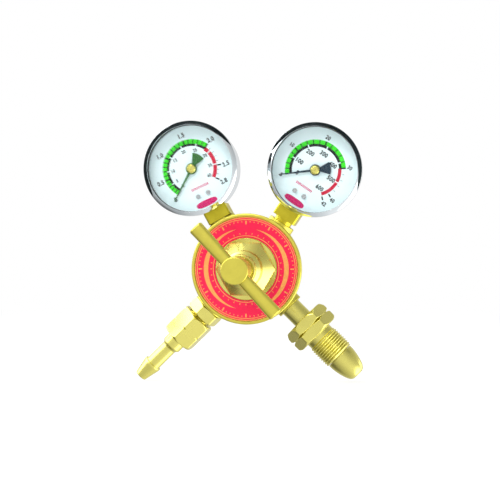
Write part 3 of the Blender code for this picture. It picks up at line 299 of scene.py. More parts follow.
CRIMSON_BAR = [(-7.6, -27.7), (7.6, -27.7), (7.6, -23.2), (-7.6, -23.2)]
DASH_HALF_WIDTH = 0.3
DASH_ENDS = (-14.5, -12.7)

# Camera of the studio: place in metres, then turn to the left and dip in degrees
CAMERA_PLACE = (0.0496, -0.8162, 0.0940)
CAMERA_TURN = 8.7
CAMERA_DIP = 0.6
CAMERA_LENS = 85.33

# Lamps: place, width and power, in metres and watts
LAMPS = {
    "top_lamp": ((-0.25, -0.6, 0.95), 0.35, 3.4),
    "back_left_lamp": ((-0.6, 0.45, 0.7), 0.5, 4.5),
    "back_right_lamp": ((0.8, 0.45, 0.05), 0.5, 1.3),
}

# Surroundings: level, what it gains up on the left and down on the right, on the right, in front
SKY_LEVEL = 0.84
SKY_SLANT = -0.75
SKY_RIGHT = 0.08
SKY_FRONT = 0.14
# Two soft boxes and a dark flag among them: direction, half angle and added strength
SOFT_BOXES = [((-0.76, -0.12, 0.63), 32, 3.6), ((0.85, -0.08, -0.5), 30, 2.5),
              ((-0.72, 0.1, -0.68), 22, -0.22)]
SOFT_EDGE = 6  # degrees

# Curved black cards, for the chrome: the gauge that each one stands round, and its first and last
# angle clockwise from down
CARDS = {"left_card": ("low_", 58, 240), "right_card": ("high_", 112, 300)}
CARD_R = 120.0
CARD_BACK = -8.0
CARD_FRONT = 115.0
CARD_REACH = 133.0  # only what is as near as this shows a card

FLOOR_R = 3000
FLOOR_GAP = 0.4


def linear(code):
    """An sRGB hex colour as linear red, green, blue and alpha."""
    parts = [int(code[k:k + 2], 16) / 255 for k in (1, 3, 5)]
    return (*[c / 12.92 if c <= 0.04045 else ((c + 0.055) / 1.055) ** 2.4 for c in parts], 1.0)


def colour_property(name, description, code):
    return bpy.props.FloatVectorProperty(
        name=name, description=description, subtype="COLOR", size=4, min=0.0, max=1.0,
        default=linear(code))


def length_property(name, description, millimetres):
    return bpy.props.FloatProperty(
        name=name, description=description, default=millimetres * MM, min=0.0, unit="LENGTH",
        subtype="DISTANCE", precision=5)


class RegulatorColours(bpy.types.PropertyGroup):
    """Colours of the regulator's finishes."""

    turned_brass: colour_property("Turned brass", "Bonnet, nuts, stem and hose tail", "#E0D774")
    forged_brass: colour_property("Forged brass", "Body and T-bar", "#DED25A")
    drawn_brass: colour_property("Drawn brass", "Gauge stems", "#CCBE36")
    label: colour_property("Label", "Enamel of the label ring", "#DA1042")
    foil: colour_property("Foil", "Gold lines on the label", "#F6A85A")
    dial: colour_property("Dial", "Paint of the dials", "#DFF4F7")
    safe: colour_property("Working range", "Green band of the dials", "#34DC1E")
    danger: colour_property("Upper range", "Red band of the dials", "#C00C34")
    crimson: colour_property("Crimson", "Plain bars of the dials", "#CC1266")
    numerals: colour_property("Numerals", "Figures and dark bands of the dials", "#14181C")
    low_pointer: colour_property("Low pointer", "Pointer of the low-pressure gauge", "#2F6B2F")
    high_pointer: colour_property("High pointer", "Pointer of the high-pressure gauge", "#16303F")


class RegulatorSizes(bpy.types.PropertyGroup):
    """Sizes of the detail that is added to the solids."""

    edge_round: length_property("Edge round", "Rounding of machined edges", 0.5)
    forging_round: length_property("Forging round", "Rounding of forged edges", 1.3)
    hexagon_softness: length_property("Hexagon softness", "Blend between flats and turning", 0.35)
    print_height: length_property("Print height", "Thickness of the dial's inks", 0.03)
    foil_height: length_property("Foil height", "Thickness of the label's gold lines", 0.05)
    slot_width: length_property("Slot width", "Screwdriver slots", 0.6)
    notch_depth: length_property("Notch depth", "Grooves round the nuts", 1.2)


def size(name):
    """A size in millimetres."""
    return getattr(bpy.context.scene.regulator_sizes, name) / MM


# Frames


def placed(z_axis, x_axis, origin):
    z = Vector(z_axis).normalized()
    x = Vector(x_axis).normalized()
    return Matrix.Translation(origin) @ Matrix((x, z.cross(x), z)).transposed().to_4x4()


def turn(degrees):
    return Matrix.Rotation(math.radians(degrees), 4, "Z")


def line_place(joint):
    """Frame of the line along a nut's axis, from the body's axis outwards."""
    start = Vector((BODY_AXIS.x, JOINTS[joint]["pos_m"][1], BODY_AXIS.z))
    return placed(JOINTS[joint]["axis"], (0, 1, 0), start)


def stem_of(prefix):
    """Direction, length in millimetres and start of the line from the body's axis to a gauge."""
    centre = Vector(JOINTS[prefix + "pointer_turn"]["pos_m"])
    start = Vector((BODY_AXIS.x, centre.y, BODY_AXIS.z))
    return (centre - start).normalized(), (centre - start).length / MM, start


def stem_place(prefix):
    along, _, start = stem_of(prefix)
    return placed(along, (0, 1, 0), start)


def gauge_place(prefix):
    along, reach, start = stem_of(prefix)
    return placed((0, -1, 0), (along.z, 0, -along.x), start + along * reach * MM)


def dial_place(prefix):
    return gauge_place(prefix) @ turn(DIALS[prefix]["twist"])


FRONT = placed((0, -1, 0), (1, 0, 0), (BODY_AXIS.x, 0, BODY_AXIS.z))
INLET = line_place("inlet_nut_spin")
OUTLET = line_place("outlet_nut_spin")


def span(node, place):
    """Lowest and highest z of a node along a frame, in millimetres."""
    back = place.inverted()
    heights = [(back @ vertex.co).z / MM for vertex in frame["nodes"][node].data.vertices]
    return min(heights), max(heights)


# Shapes in millimetres


def polar(radius, degrees):
    angle = math.radians(degrees)
    return radius * math.cos(angle), radius * math.sin(angle)


def clock(radius, degrees):
    """The point at an angle clockwise from down."""
    angle = math.radians(degrees)
    return -radius * math.sin(angle), -radius * math.cos(angle)


def corner_of(flats):
    """Radius of a hexagon's corners."""
    return flats / math.sqrt(3)


def rounded(corners, steps=5):
    """An outline from (radius, z) corners, and (radius, z, rounding) corners as arcs."""
    points = []
    for before, corner, after in zip(corners[-1:] + corners[:-1], corners,
                                     corners[1:] + corners[:1]):
        here = Vector(corner[:2])
        if len(corner) < 3:
            points.append(tuple(here))
            continue
        sides = [Vector(other[:2]) - here for other in (before, after)]
        reach = min(corner[2], *(side.length * 0.49 for side in sides))
        start, end = (here + side.normalized() * reach for side in sides)
        for k in range(steps + 1):
            t = k / steps
            points.append(tuple(start * (1 - t) ** 2 + here * 2 * t * (1 - t) + end * t ** 2))
    return points


def softened(corners, rounds):
    """A closed polygon with its corners cut again and again until they are round."""
    for _ in range(rounds):
        cut = []
        for here, after in zip(corners, corners[1:] + corners[:1]):
            here, after = Vector(here), Vector(after)
            cut += [tuple(here.lerp(after, 0.22)), tuple(here.lerp(after, 0.78))]
        corners = cut
    return corners


def dense(points, step, bore=0.0):
    """The outline with points at most a step apart along z, apart from its plain bore."""
    filled = []
    for point, following in zip(points, points[1:] + points[:1]):
        here, there = Vector(point), Vector(following)
        count = max(1, math.ceil(abs(there.y - here.y) / step))
        if max(here.x, there.x) < bore + HAIR:
            count = 1
        filled += [tuple(here.lerp(there, k / count)) for k in range(count)]
    return filled


def bridge(shape, ring, following):
    """Faces between two closed rings; a ring of one corner closes to a point."""
    count = max(len(ring), len(following))
    for k in range(count):
        m = (k + 1) % count
        corners = [ring[k % len(ring)], ring[m % len(ring)],
                   following[m % len(following)], following[k % len(following)]]
        corners = list(dict.fromkeys(corners))
        if len(corners) > 2:
            shape.faces.new(corners)


def lathe(outline, sides=SIDES, changes=()):
    """A solid turned about z from a closed half section, reshaped by each
    change(radius, z, angle) in turn."""
    shape = bmesh.new()
    rings = []
    for radius, z in outline:
        if radius < 1e-6:
            rings.append([shape.verts.new((0, 0, z))])
            continue
        ring = []
        for k in range(sides):
            angle = 360 * k / sides
            reach = radius
            for change in changes:
                reach = change(reach, z, angle)
            ring.append(shape.verts.new((*polar(reach, angle), z)))
        rings.append(ring)
    for ring, following in zip(rings, rings[1:] + rings[:1]):
        bridge(shape, ring, following)
    return shape


def rod(radius, low, high, sides=48):
    return lathe([(0, low), (radius, low), (radius, high), (0, high)], sides)


def softened_min(a, b, softness):
    """The smaller of two numbers, with a smooth change where they are alike."""
    share = max(softness - abs(a - b), 0) / softness
    return min(a, b) - share ** 2 * softness / 4


def flattened(sides, flats, start, foot=-math.inf, top=math.inf, softness=None):
    """A change that cuts flats on a turned piece between two heights."""
    softness = softness or size("hexagon_softness")

    def change(radius, z, angle):
        if not foot < z < top:
            return radius
        off_centre = (angle - start) % (360 / sides) - 180 / sides
        return softened_min(radius, flats / 2 / math.cos(math.radians(off_centre)), softness)

    return change


def threaded(crest, depth, pitch, foot, top):
    """A change that winds a rounded right-hand thread on a cylinder between two heights."""

    def change(radius, z, angle):
        if radius < crest - HAIR or not foot <= z <= top:
            return radius
        fade = min(1, (z - foot) / pitch, (top - z) / pitch)
        wave = 0.5 + 0.5 * math.cos(math.tau * (z / pitch - angle / 360))
        return crest - depth * (1 - wave * fade)

    return change


def plate(corners, low, high):
    """A flat plate with the given (x, y) corners."""
    shape = bmesh.new()
    bottom, top = ([shape.verts.new((x, y, z)) for x, y in corners] for z in (low, high))
    bridge(shape, bottom, top)
    shape.faces.new(bottom)
    shape.faces.new(top)
    return shape


def band(inner, outer, start, end, low, high, step=3.0):
    """A thin flat band round a dial, from one angle to another."""
    if end - start >= 360:
        return lathe([(inner, low), (outer, low), (outer, high), (inner, high)])
    count = max(1, round((end - start) / step))
    angles = [start + (end - start) * k / count for k in range(count + 1)]
    corners = [clock(inner, angle) for angle in angles]
    corners += [clock(outer, angle) for angle in reversed(angles)]
    return plate(corners, low, high)


def tick(inner, outer, angle, width, low, high):
    """A straight mark across a dial's band."""
    across = Vector(clock(1, angle + 90)) * width / 2
    near, far = Vector(clock(inner, angle)), Vector(clock(outer, angle))
    corners = [near - across, far - across, far + across, near + across]
    return plate([tuple(corner) for corner in corners], low, high)


def crescent(radius, start, end, half_width, low, high):
    """A bar round part of the ring that narrows to a point at each end."""
    steps = 40
    inner, outer = [], []
    for k in range(steps + 1):
        angle = start + (end - start) * k / steps
        half = 0.05 + half_width * math.sin(math.pi * k / steps)
        inner.append(clock(radius - half, angle))
        outer.append(clock(radius + half, angle))
    return plate(inner + outer[::-1], low, high)


def slotted_screw(head_r, shank_r, tip, seat, crown, start, edge=0.35):
    """A cheese-head screw along z: its head rises from the seat to the crown, with a slot."""
    away = 1 if crown > seat else -1
    half = size("slot_width") / 2
    floor = crown - away * (SLOT_DEPTH * abs(crown - seat))
    shape = lathe(rounded([(0, crown), (head_r, crown, edge), (head_r, seat), (shank_r, seat),
                           (shank_r, tip), (0, tip)], 4), 48)
    for position in (-half, half):
        bmesh.ops.bisect_plane(shape, geom=shape.verts[:] + shape.edges[:] + shape.faces[:],
                               plane_co=(0, position, 0), plane_no=(0, 1, 0))
    for vertex in shape.verts:
        if abs(vertex.co.y) < half + 1e-4 and (vertex.co.z - floor) * away > 0:
            vertex.co.z = floor
    shape.transform(turn(start))
    return shape


def merged(shapes):
    """One bmesh that holds several separate shapes."""
    whole = bmesh.new()
    for shape in shapes:
        part = bpy.data.meshes.new("part")
        shape.to_mesh(part)
        shape.free()
        whole.from_mesh(part)
        bpy.data.meshes.remove(part)
    return whole


def to_mesh(name, shape):
    bmesh.ops.recalc_face_normals(shape, faces=shape.faces)
    shape.transform(Matrix.Scale(MM, 4))
    mesh = bpy.data.meshes.new(name)
    shape.to_mesh(mesh)
    shape.free()
    return mesh


def evaluated_shape(thing):
    """The bmesh of an object as its modifiers or its font make it; the object is removed."""
    bpy.context.view_layer.update()
    evaluated = thing.evaluated_get(bpy.context.evaluated_depsgraph_get())
    mesh = bpy.data.meshes.new_from_object(evaluated)
    bpy.data.objects.remove(thing, do_unlink=True)
    shape = bmesh.new()
    shape.from_mesh(mesh)
    bpy.data.meshes.remove(mesh)
    return shape


def new_object(name, data, place):
    thing = bpy.data.objects.new(name, data)
    bpy.context.scene.collection.objects.link(thing)
    thing.matrix_world = place
    return thing


def add_piece(name, shape, material, place, node=None, body="regulator", sharp=32):
    """A smooth piece from a closed bmesh in its own frame, riding on a body for its node."""
    mesh = to_mesh(name, shape)
    places = [0.0] * (3 * len(mesh.vertices))
    mesh.vertices.foreach_get("co", places)
    mesh.attributes.new(OWN_PLACE, "FLOAT_VECTOR", "POINT").data.foreach_set("vector", places)
    mesh.transform(place)
    mesh.materials.append(material)
    mesh.shade_smooth()
    mesh.set_sharp_from_angle(angle=math.radians(sharp))
    piece = new_object(name, mesh, Matrix.Identity(4))
    piece.modifiers.new("even shading", "WEIGHTED_NORMAL").keep_sharp = True
    if node:
        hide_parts(node)
    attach(piece, body)


def combined(shape, tool, place, operation):
    """The shape with another one joined to it or cut from it, at a place in its own frame."""
    tool.transform(place)
    whole, part = (new_object(name, to_mesh(name, solid), Matrix.Identity(4))
                   for name, solid in (("whole", shape), ("part", tool)))
    change = whole.modifiers.new("combine", "BOOLEAN")
    change.operation = operation
    change.object = part
    result = evaluated_shape(whole)
    bpy.data.objects.remove(part, do_unlink=True)
    result.transform(Matrix.Scale(1 / MM, 4))
    return result


# Materials


def add_node(tree, kind, settings=None, links=None):
    """A node with its settings by name, by socket name or by socket number, and its links."""
    node = tree.nodes.new(kind)
    for name, value in (settings or {}).items():
        if isinstance(name, str) and hasattr(node, name):
            setattr(node, name, value)
        else:
            node.inputs[name].default_value = value
    for name, source in (links or {}).items():
        tree.links.new(source, node.inputs[name])
    return node


def new_material(name):
    """A new material, its nodes and its shader."""
    material = bpy.data.materials.new(name)
    material.use_nodes = True
    return material, material.node_tree, material.node_tree.nodes["Principled BSDF"]


def per_mm(millimetres):
    """Noise scale whose features measure about the given size."""
    return 1 / (millimetres * MM)


def toned(tone, worn, lift):
    """A finish's colour, and its colour in worn patches: two hex codes, or a colour property's
    name and the share of it that is left in the patches, to which lift is added."""
    if tone.startswith("#"):
        return linear(tone), linear(worn)
    colour = tuple(getattr(bpy.context.scene.regulator_colours, tone))
    return colour, (*[channel * worn + lift for channel in colour[:3]], 1.0)


def shaded(name, tone, worn, metallic, roughness, patch=8.0, spread=0.06, grain=0.4, relief=0.0,
           lift=0.0, rings=False, **sockets):
    """A Principled finish: colour and gloss drift in patches, grain or turning rings lift the
    surface. Patch and grain are sizes and relief is a height, all in millimetres."""
    material, tree, shader = new_material(name)
    shader.inputs["Metallic"].default_value = metallic
    for socket, value in sockets.items():
        shader.inputs[socket].default_value = value
    colour, second = toned(tone, worn, lift)
    place = add_node(tree, "ShaderNodeTexCoord").outputs["Object"]
    patches = add_node(
        tree, "ShaderNodeTexNoise", {"Scale": per_mm(patch), "Detail": 3.0, "Roughness": 0.6},
        {"Vector": place}).outputs["Fac"]
    share = add_node(tree, "ShaderNodeMapRange", {"From Min": 0.35, "From Max": 0.65},
                     {"Value": patches})
    mix = add_node(tree, "ShaderNodeMix", {"data_type": "RGBA", 6: colour, 7: second},
                   {0: share.outputs[0]})
    tree.links.new(mix.outputs[2], shader.inputs["Base Color"])
    gloss = add_node(
        tree, "ShaderNodeMapRange",
        {"From Min": 0.3, "From Max": 0.7, "To Min": max(roughness - spread, 0.02),
         "To Max": roughness + spread}, {"Value": patches})
    tree.links.new(gloss.outputs[0], shader.inputs["Roughness"])
    if not relief:
        return material
    if rings:
        own = add_node(tree, "ShaderNodeAttribute", {"attribute_name": OWN_PLACE})
        own = own.outputs["Vector"]
        flat = add_node(tree, "ShaderNodeVectorMath", {"operation": "MULTIPLY", 1: (1, 1, 0)},
                        {0: own})
        reach = add_node(tree, "ShaderNodeVectorMath", {"operation": "LENGTH"},
                         {0: flat.outputs[0]})
        height = add_node(tree, "ShaderNodeSeparateXYZ", {}, {0: own})
        place = add_node(tree, "ShaderNodeCombineXYZ", {},
                         {0: reach.outputs["Value"], 1: height.outputs["Z"]}).outputs[0]
    marks = add_node(
        tree, "ShaderNodeTexNoise", {"Scale": per_mm(grain), "Detail": 2.0}, {"Vector": place})
    bump = add_node(tree, "ShaderNodeBump", {"Strength": 1.0, "Distance": relief * MM},
                    {"Height": marks.outputs["Fac"]})
    tree.links.new(bump.outputs[0], shader.inputs["Normal"])
    return material


def turned_brass():
    """Free-cutting brass bar, turned: bright yellow, with fine rings left by the tool.

    The rings are about 0.1 mm apart on the real piece and drawn at 0.9 mm, so that they show.
    """
    return shaded("turned free-cutting brass", "turned_brass", 0.94, 1.0, 0.27, patch=9.0,
                  grain=0.9, relief=0.006, rings=True)


def forged_brass():
    """Brass stamping, tumbled: a soft gloss over faint pits and die marks."""
    return shaded("hot stamped brass", "forged_brass", 0.9, 1.0, 0.4, patch=7.0, grain=1.6,
                  relief=0.02)


def drawn_brass():
    """Square brass bar, drawn: a satin, deeper yellow with hardly any marks."""
    return shaded("drawn brass bar", "drawn_brass", 0.92, 1.0, 0.36, patch=5.0, grain=0.6,
                  relief=0.01)


def chrome_plate():
    """Bright chromium plate on steel: a mirror with a cool tint."""
    return shaded("bright chromium plate", "#DDE3E6", "#D3DADE", 1.0, 0.05, patch=14.0,
                  spread=0.02, grain=2.5, relief=0.004)


def zinc_steel():
    """Zinc-plated steel: a grey satin with a slight bloom."""
    return shaded("zinc-plated steel", "#BFC3C4", "#A9AFB2", 1.0, 0.3, patch=2.0, relief=0.006)


def spring_steel():
    """Oil-tempered spring wire: dark and faintly brown, with drawing lines."""
    return shaded("oil-tempered spring wire", "#55524E", "#45423F", 1.0, 0.38, patch=2.0,
                  grain=0.3, relief=0.006)


def phosphor_bronze():
    """Phosphor bronze: redder than brass, dulled by annealing."""
    return shaded("phosphor bronze", "#B98A5A", "#9C6F45", 1.0, 0.4, patch=4.0, grain=0.5,
                  relief=0.01)


def label_enamel():
    """Stoved enamel on an aluminium ring: an even crimson, slightly wavy and with a low gloss."""
    return shaded("stoved crimson enamel", "label", 0.92, 0.0, 0.42, patch=12.0, spread=0.04,
                  grain=1.5, relief=0.006, **{"Specular IOR Level": 0.25})


def gold_foil():
    """Hot-stamped gold foil: flat orange gold, a little broken where it didn't take."""
    return shaded("hot-stamped gold foil", "foil", 0.85, 0.6, 0.35, patch=1.5, grain=0.5,
                  relief=0.005)


def dial_paint():
    """White stoved paint on aluminium: smooth, cool and nearly matt."""
    return shaded("white dial paint", "dial", 0.97, 0.0, 0.5, patch=10.0, grain=0.5,
                  relief=0.004, **{"Specular IOR Level": 0.25})


def ink(name, tone):
    """Screen-printed ink: matt, a touch thinner in places."""
    return shaded(name, tone, 0.9, 0.0, 0.55, patch=1.2, grain=0.3, relief=0.003, lift=0.02,
                  **{"Specular IOR Level": 0.1})


def pointer_lacquer(name, tone):
    """Lacquered aluminium strip: dark, with a low sheen."""
    return shaded(name, tone, 0.8, 0.0, 0.45, patch=3.0, relief=0.004,
                  **{"Specular IOR Level": 0.25})


def nitrile_rubber():
    """Moulded nitrile rubber: near black and matt."""
    return shaded("moulded nitrile rubber", "#1C1C1D", "#242425", 0.0, 0.75, patch=3.0,
                  grain=0.3, relief=0.01)


def vulcanised_fibre():
    """Vulcanised fibre washer: brick red and dry, with pressed strands."""
    return shaded("vulcanised fibre", "#8A3A2C", "#6F2C21", 0.0, 0.85, patch=1.5, relief=0.02)


def moulded_nylon():
    """Moulded nylon: milky white with a waxy gloss."""
    return shaded("moulded nylon", "#E6E2D4", "#D9D4C4", 0.0, 0.45, patch=3.0, grain=0.5,
                  relief=0.005, IOR=1.53)


def window_glass():
    """Soda-lime glass disc: clear and polished.

    Three quarters of each ray pass unbent, as through a disc with a coat against glare, and light
    for the dial passes whole.
    """
    material = shaded("soda-lime glass", "#FFFFFF", "#FBFFFF", 0.0, 0.03, patch=20.0,
                      spread=0.01, IOR=1.52, **{"Transmission Weight": 1.0})
    tree = material.node_tree
    path = add_node(tree, "ShaderNodeLightPath")
    share = add_node(tree, "ShaderNodeMath", {"operation": "MAXIMUM", 1: 0.75},
                     {0: path.outputs["Is Shadow Ray"]})
    mix = add_node(
        tree, "ShaderNodeMixShader", {},
        {0: share.outputs[0], 1: tree.nodes["Principled BSDF"].outputs[0],
         2: add_node(tree, "ShaderNodeBsdfTransparent").outputs[0]})
    tree.links.new(mix.outputs[0], tree.nodes["Material Output"].inputs["Surface"])
    return material


def seen_directly(tree):
    """1 where the camera sees a point, straight or through glass, and 0 for other rays."""
    path = add_node(tree, "ShaderNodeLightPath").outputs
    return add_node(tree, "ShaderNodeMath", {"operation": "MAXIMUM"},
                    {0: path["Is Camera Ray"], 1: path["Is Transmission Ray"]}).outputs[0]


def painted_board():
    """White matt board, whose light for the camera meets the surroundings' white far out."""
    material, tree, shader = new_material("pale floor")
    shader.inputs["Base Color"].default_value = linear("#FAFAFA")
    shader.inputs["Roughness"].default_value = 0.9
    reach = add_node(tree, "ShaderNodeVectorMath", {"operation": "LENGTH"},
                     {0: add_node(tree, "ShaderNodeTexCoord").outputs["Object"]})
    glowing = add_node(
        tree, "ShaderNodeMapRange",
        {"interpolation_type": "SMOOTHSTEP", "From Min": 0.15, "From Max": 0.8, "To Min": 0.82,
         "To Max": 1.0}, {"Value": reach.outputs["Value"]})
    share = add_node(tree, "ShaderNodeMath", {"operation": "MULTIPLY"},
                     {0: seen_directly(tree), 1: glowing.outputs[0]})
    glow = add_node(tree, "ShaderNodeEmission", {"Color": (1, 1, 1, 1), "Strength": 1.0})
    mix = add_node(tree, "ShaderNodeMixShader", {},
                   {0: share.outputs[0], 1: shader.outputs[0], 2: glow.outputs[0]})
    tree.links.new(mix.outputs[0], tree.nodes["Material Output"].inputs["Surface"])
    return material


def black_card():
    """Black studio card: matt, and clear from behind and to all that is far from it."""
    material, tree, shader = new_material("black card")
    shader.inputs["Base Color"].default_value = linear("#0A1719")
    shader.inputs["Roughness"].default_value = 1.0
    side = add_node(tree, "ShaderNodeNewGeometry").outputs["Backfacing"]
    far = add_node(tree, "ShaderNodeMath", {"operation": "GREATER_THAN", 1: CARD_REACH * MM},
                   {0: add_node(tree, "ShaderNodeLightPath").outputs["Ray Length"]})
    clear = add_node(tree, "ShaderNodeMath", {"operation": "MAXIMUM"},
                     {0: side, 1: far.outputs[0]})
    mix = add_node(tree, "ShaderNodeMixShader", {},
                   {0: clear.outputs[0], 1: shader.outputs[0],
                    2: add_node(tree, "ShaderNodeBsdfTransparent").outputs[0]})
    tree.links.new(mix.outputs[0], tree.nodes["Material Output"].inputs["Surface"])
    return material


# Pieces


class RegulatorStep(bpy.types.Operator):
    """Shared settings of the steps."""

    bl_options = {"REGISTER", "UNDO"}


class REGULATOR_OT_stage(RegulatorStep):
    """Camera, lamps, surroundings, cards and floor"""

    bl_idname = "regulator.stage"
    bl_label = "Stage"

    def execute(self, context):
        low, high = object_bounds()
        self.add_camera(context.scene)
        self.add_world(context.scene)
        self.add_floor(low.z - FLOOR_GAP * MM)
        for name, (prefix, start, end) in CARDS.items():
            self.add_card(name, gauge_place(prefix).translation, start, end)
        for name, (place, width, watts) in LAMPS.items():
            self.add_lamp(name, place, (low + high) / 2, width, watts)
        return {"FINISHED"}

    def add_camera(self, scene):
        """A nearly level view from 0.8 m, from the right of the body's axis."""
        turned, dip = math.radians(CAMERA_TURN), math.radians(CAMERA_DIP)
        forward = Vector((-math.sin(turned) * math.cos(dip), math.cos(turned) * math.cos(dip),
                          -math.sin(dip)))
        data = bpy.data.cameras.new("camera")
        data.lens = CAMERA_LENS
        camera = new_object("camera", data, Matrix.Translation(CAMERA_PLACE))
        camera.rotation_euler = forward.to_track_quat("-Z", "Y").to_euler()
        scene.camera = camera
        scene.view_settings.view_transform = "Standard"

    def add_world(self, scene):
        """A white studio, brighter up on the left, down on the right and in front."""
        world = bpy.data.worlds.new("studio")
        world.use_nodes = True
        scene.world = world
        tree = world.node_tree
        way = add_node(tree, "ShaderNodeTexCoord").outputs["Generated"]
        x, y, z = add_node(tree, "ShaderNodeSeparateXYZ", {}, {0: way}).outputs
        slant = add_node(tree, "ShaderNodeMath", {"operation": "MULTIPLY"}, {0: x, 1: z})
        level = add_node(
            tree, "ShaderNodeMath", {"operation": "MULTIPLY_ADD", 1: SKY_SLANT, 2: SKY_LEVEL},
            {0: slant.outputs[0]})
        level = add_node(tree, "ShaderNodeMath", {"operation": "MULTIPLY_ADD", 1: SKY_RIGHT},
                         {0: x, 2: level.outputs[0]})
        gains = [add_node(
            tree, "ShaderNodeMapRange",
            {"interpolation_type": "SMOOTHSTEP", "From Min": -0.5, "From Max": -0.95,
             "To Min": 0.0, "To Max": SKY_FRONT}, {"Value": y})]
        for direction, half_angle, strength in SOFT_BOXES:
            near = add_node(
                tree, "ShaderNodeVectorMath",
                {"operation": "DOT_PRODUCT", 1: Vector(direction).normalized()}, {0: way})
            gains.append(add_node(
                tree, "ShaderNodeMapRange",
                {"interpolation_type": "SMOOTHSTEP", "To Max": strength,
                 "From Min": math.cos(math.radians(half_angle + SOFT_EDGE)),
                 "From Max": math.cos(math.radians(half_angle - SOFT_EDGE))},
                {"Value": near.outputs["Value"]}))
        for gain in gains:
            level = add_node(tree, "ShaderNodeMath", {"operation": "ADD"},
                             {0: level.outputs[0], 1: gain.outputs[0]})
        strength = add_node(tree, "ShaderNodeMix", {3: 1.0},
                            {0: seen_directly(tree), 2: level.outputs[0]})
        shader = tree.nodes["Background"]
        tree.links.new(strength.outputs[0], shader.inputs["Strength"])
        shader.inputs["Color"].default_value = (1, 1, 1, 1)

    def add_floor(self, height):
        """A pale floor that shows the object's shadow and meets the white surroundings."""
        floor = new_object("floor", to_mesh("floor", rod(FLOOR_R, -1, 0, 96)),
                           Matrix.Translation((BODY_AXIS.x, 0, height)))
        floor.data.materials.append(painted_board())
        floor.visible_glossy = False
        floor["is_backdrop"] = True

    def add_card(self, name, centre, start, end):
        """A black card bent round the outer side of a gauge, narrower at both ends. Only gloss
        near it shows it."""
        place = FRONT.copy()
        place.translation = centre
        steps = 40
        corners = []
        for k in range(steps + 1):
            full = min(1, 5 * k / steps, 5 * (1 - k / steps)) ** 0.5
            front = CARD_BACK + (CARD_FRONT - CARD_BACK) * full
            corners += [(*clock(CARD_R * MM, start + (end - start) * k / steps), z * MM)
                        for z in (CARD_BACK, front)]
        faces = [(2 * k, 2 * k + 2, 2 * k + 3, 2 * k + 1) for k in range(steps)]
        mesh = bpy.data.meshes.new(name)
        mesh.from_pydata(corners, [], faces)
        mesh.materials.append(black_card())
        card = new_object(name, mesh, place)
        for rays in ("camera", "diffuse", "transmission", "shadow", "volume_scatter"):
            setattr(card, "visible_" + rays, False)
        card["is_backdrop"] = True

    def add_lamp(self, name, place, target, width, watts):
        data = bpy.data.lights.new(name, "AREA")
        data.size = width
        data.energy = watts
        lamp = new_object(name, data, Matrix.Translation(place))
        lamp.visible_camera = False
        lamp.rotation_euler = (target - Vector(place)).to_track_quat("-Z", "Y").to_euler()


class REGULATOR_OT_body(RegulatorStep):
    """Forged body with its four port bosses, and the rear plug"""

    bl_idname = "regulator.body"
    bl_label = "Body and rear plug"

    def execute(self, context):
        edge, fine = size("forging_round"), size("edge_round")
        shape = lathe(rounded([
            (BODY_R, RIM_FRONT, edge), (BODY_R, RIM_FRONT - RIM_DEPTH, edge),
            (WALL_FOOT_R, SHOULDER, edge), (REAR_R, SHOULDER_BACK, edge),
            (REAR_CORNER_R, BACK, 1.6 * edge), (PLUG_HOLE_R, BACK, fine),
            (PLUG_HOLE_R, PLUG_FLOOR), (HIGH_CHAMBER_R, PLUG_FLOOR), (HIGH_CHAMBER_R, WEB_BACK),
            (NOZZLE_HOLE_R, WEB_BACK), (NOZZLE_HOLE_R, WEB_FRONT), (LOW_CHAMBER_R, WEB_FRONT),
            (LOW_CHAMBER_R, DIAPHRAGM_SEAT), (BONNET_HOLE_R, DIAPHRAGM_SEAT),
            (BONNET_HOLE_R, LABEL_FLOOR), (BODY_R - RIM_WIDTH, LABEL_FLOOR),
            (BODY_R - RIM_WIDTH, RIM_FRONT, fine)]))
        rear_foot = REAR_R - RIM_WIDTH
        front_foot = BODY_R - 1.5 * RIM_WIDTH
        bottom = PORT_FACE - PORT_DEPTH
        for line, radius, foot, chamber in (
                (INLET, GAUGE_BOSS_R, rear_foot, HIGH_CHAMBER_R),
                (OUTLET, OUTLET_BOSS_R, front_foot, LOW_CHAMBER_R),
                (stem_place("low_"), GAUGE_BOSS_R, front_foot, LOW_CHAMBER_R),
                (stem_place("high_"), GAUGE_BOSS_R, rear_foot, HIGH_CHAMBER_R)):
            place = FRONT.inverted() @ line
            place.translation /= MM
            boss = rounded([(0, foot), (radius, foot), (radius, PORT_FACE, fine), (0, PORT_FACE)])
            for tool, operation in (
                    (lathe(boss, 96), "UNION"),
                    (rod(PORT_HOLE_R, bottom, PORT_FACE + 1), "DIFFERENCE"),
                    (rod(CHANNEL_R, chamber / 2, bottom + 1), "DIFFERENCE")):
                shape = combined(shape, tool, place, operation)
        add_piece("forged_body", shape, forged_brass(), FRONT, "regulator_body")
        self.add_plug()
        return {"FINISHED"}

    def add_plug(self):
        low, high = span("rear_plug", FRONT)
        back, front = span("rear_plug_gasket", FRONT)
        corner = corner_of(PLUG_FLATS)
        seat = back - CLEARANCE
        thread_r = PLUG_HOLE_R - CLEARANCE
        outline = rounded([
            (0, low), (corner - 2.4, low, 0.6), (corner, low + 1.0, 0.6), (corner, seat),
            (thread_r, seat), (thread_r, high, 0.6), (0, high)])
        hexagon = flattened(6, PLUG_FLATS, 0, top=seat + HAIR)
        add_piece("rear_hexagon_plug", lathe(dense(outline, DETAIL), SIDES, [hexagon]),
                  turned_brass(), FRONT, "rear_plug")
        washer = rounded([(PLUG_HOLE_R, back), (WASHER_R, back, 0.2), (WASHER_R, front, 0.2),
                          (PLUG_HOLE_R, front)])
        add_piece("plug_washer", lathe(washer), vulcanised_fibre(), FRONT,
                  "rear_plug_gasket")


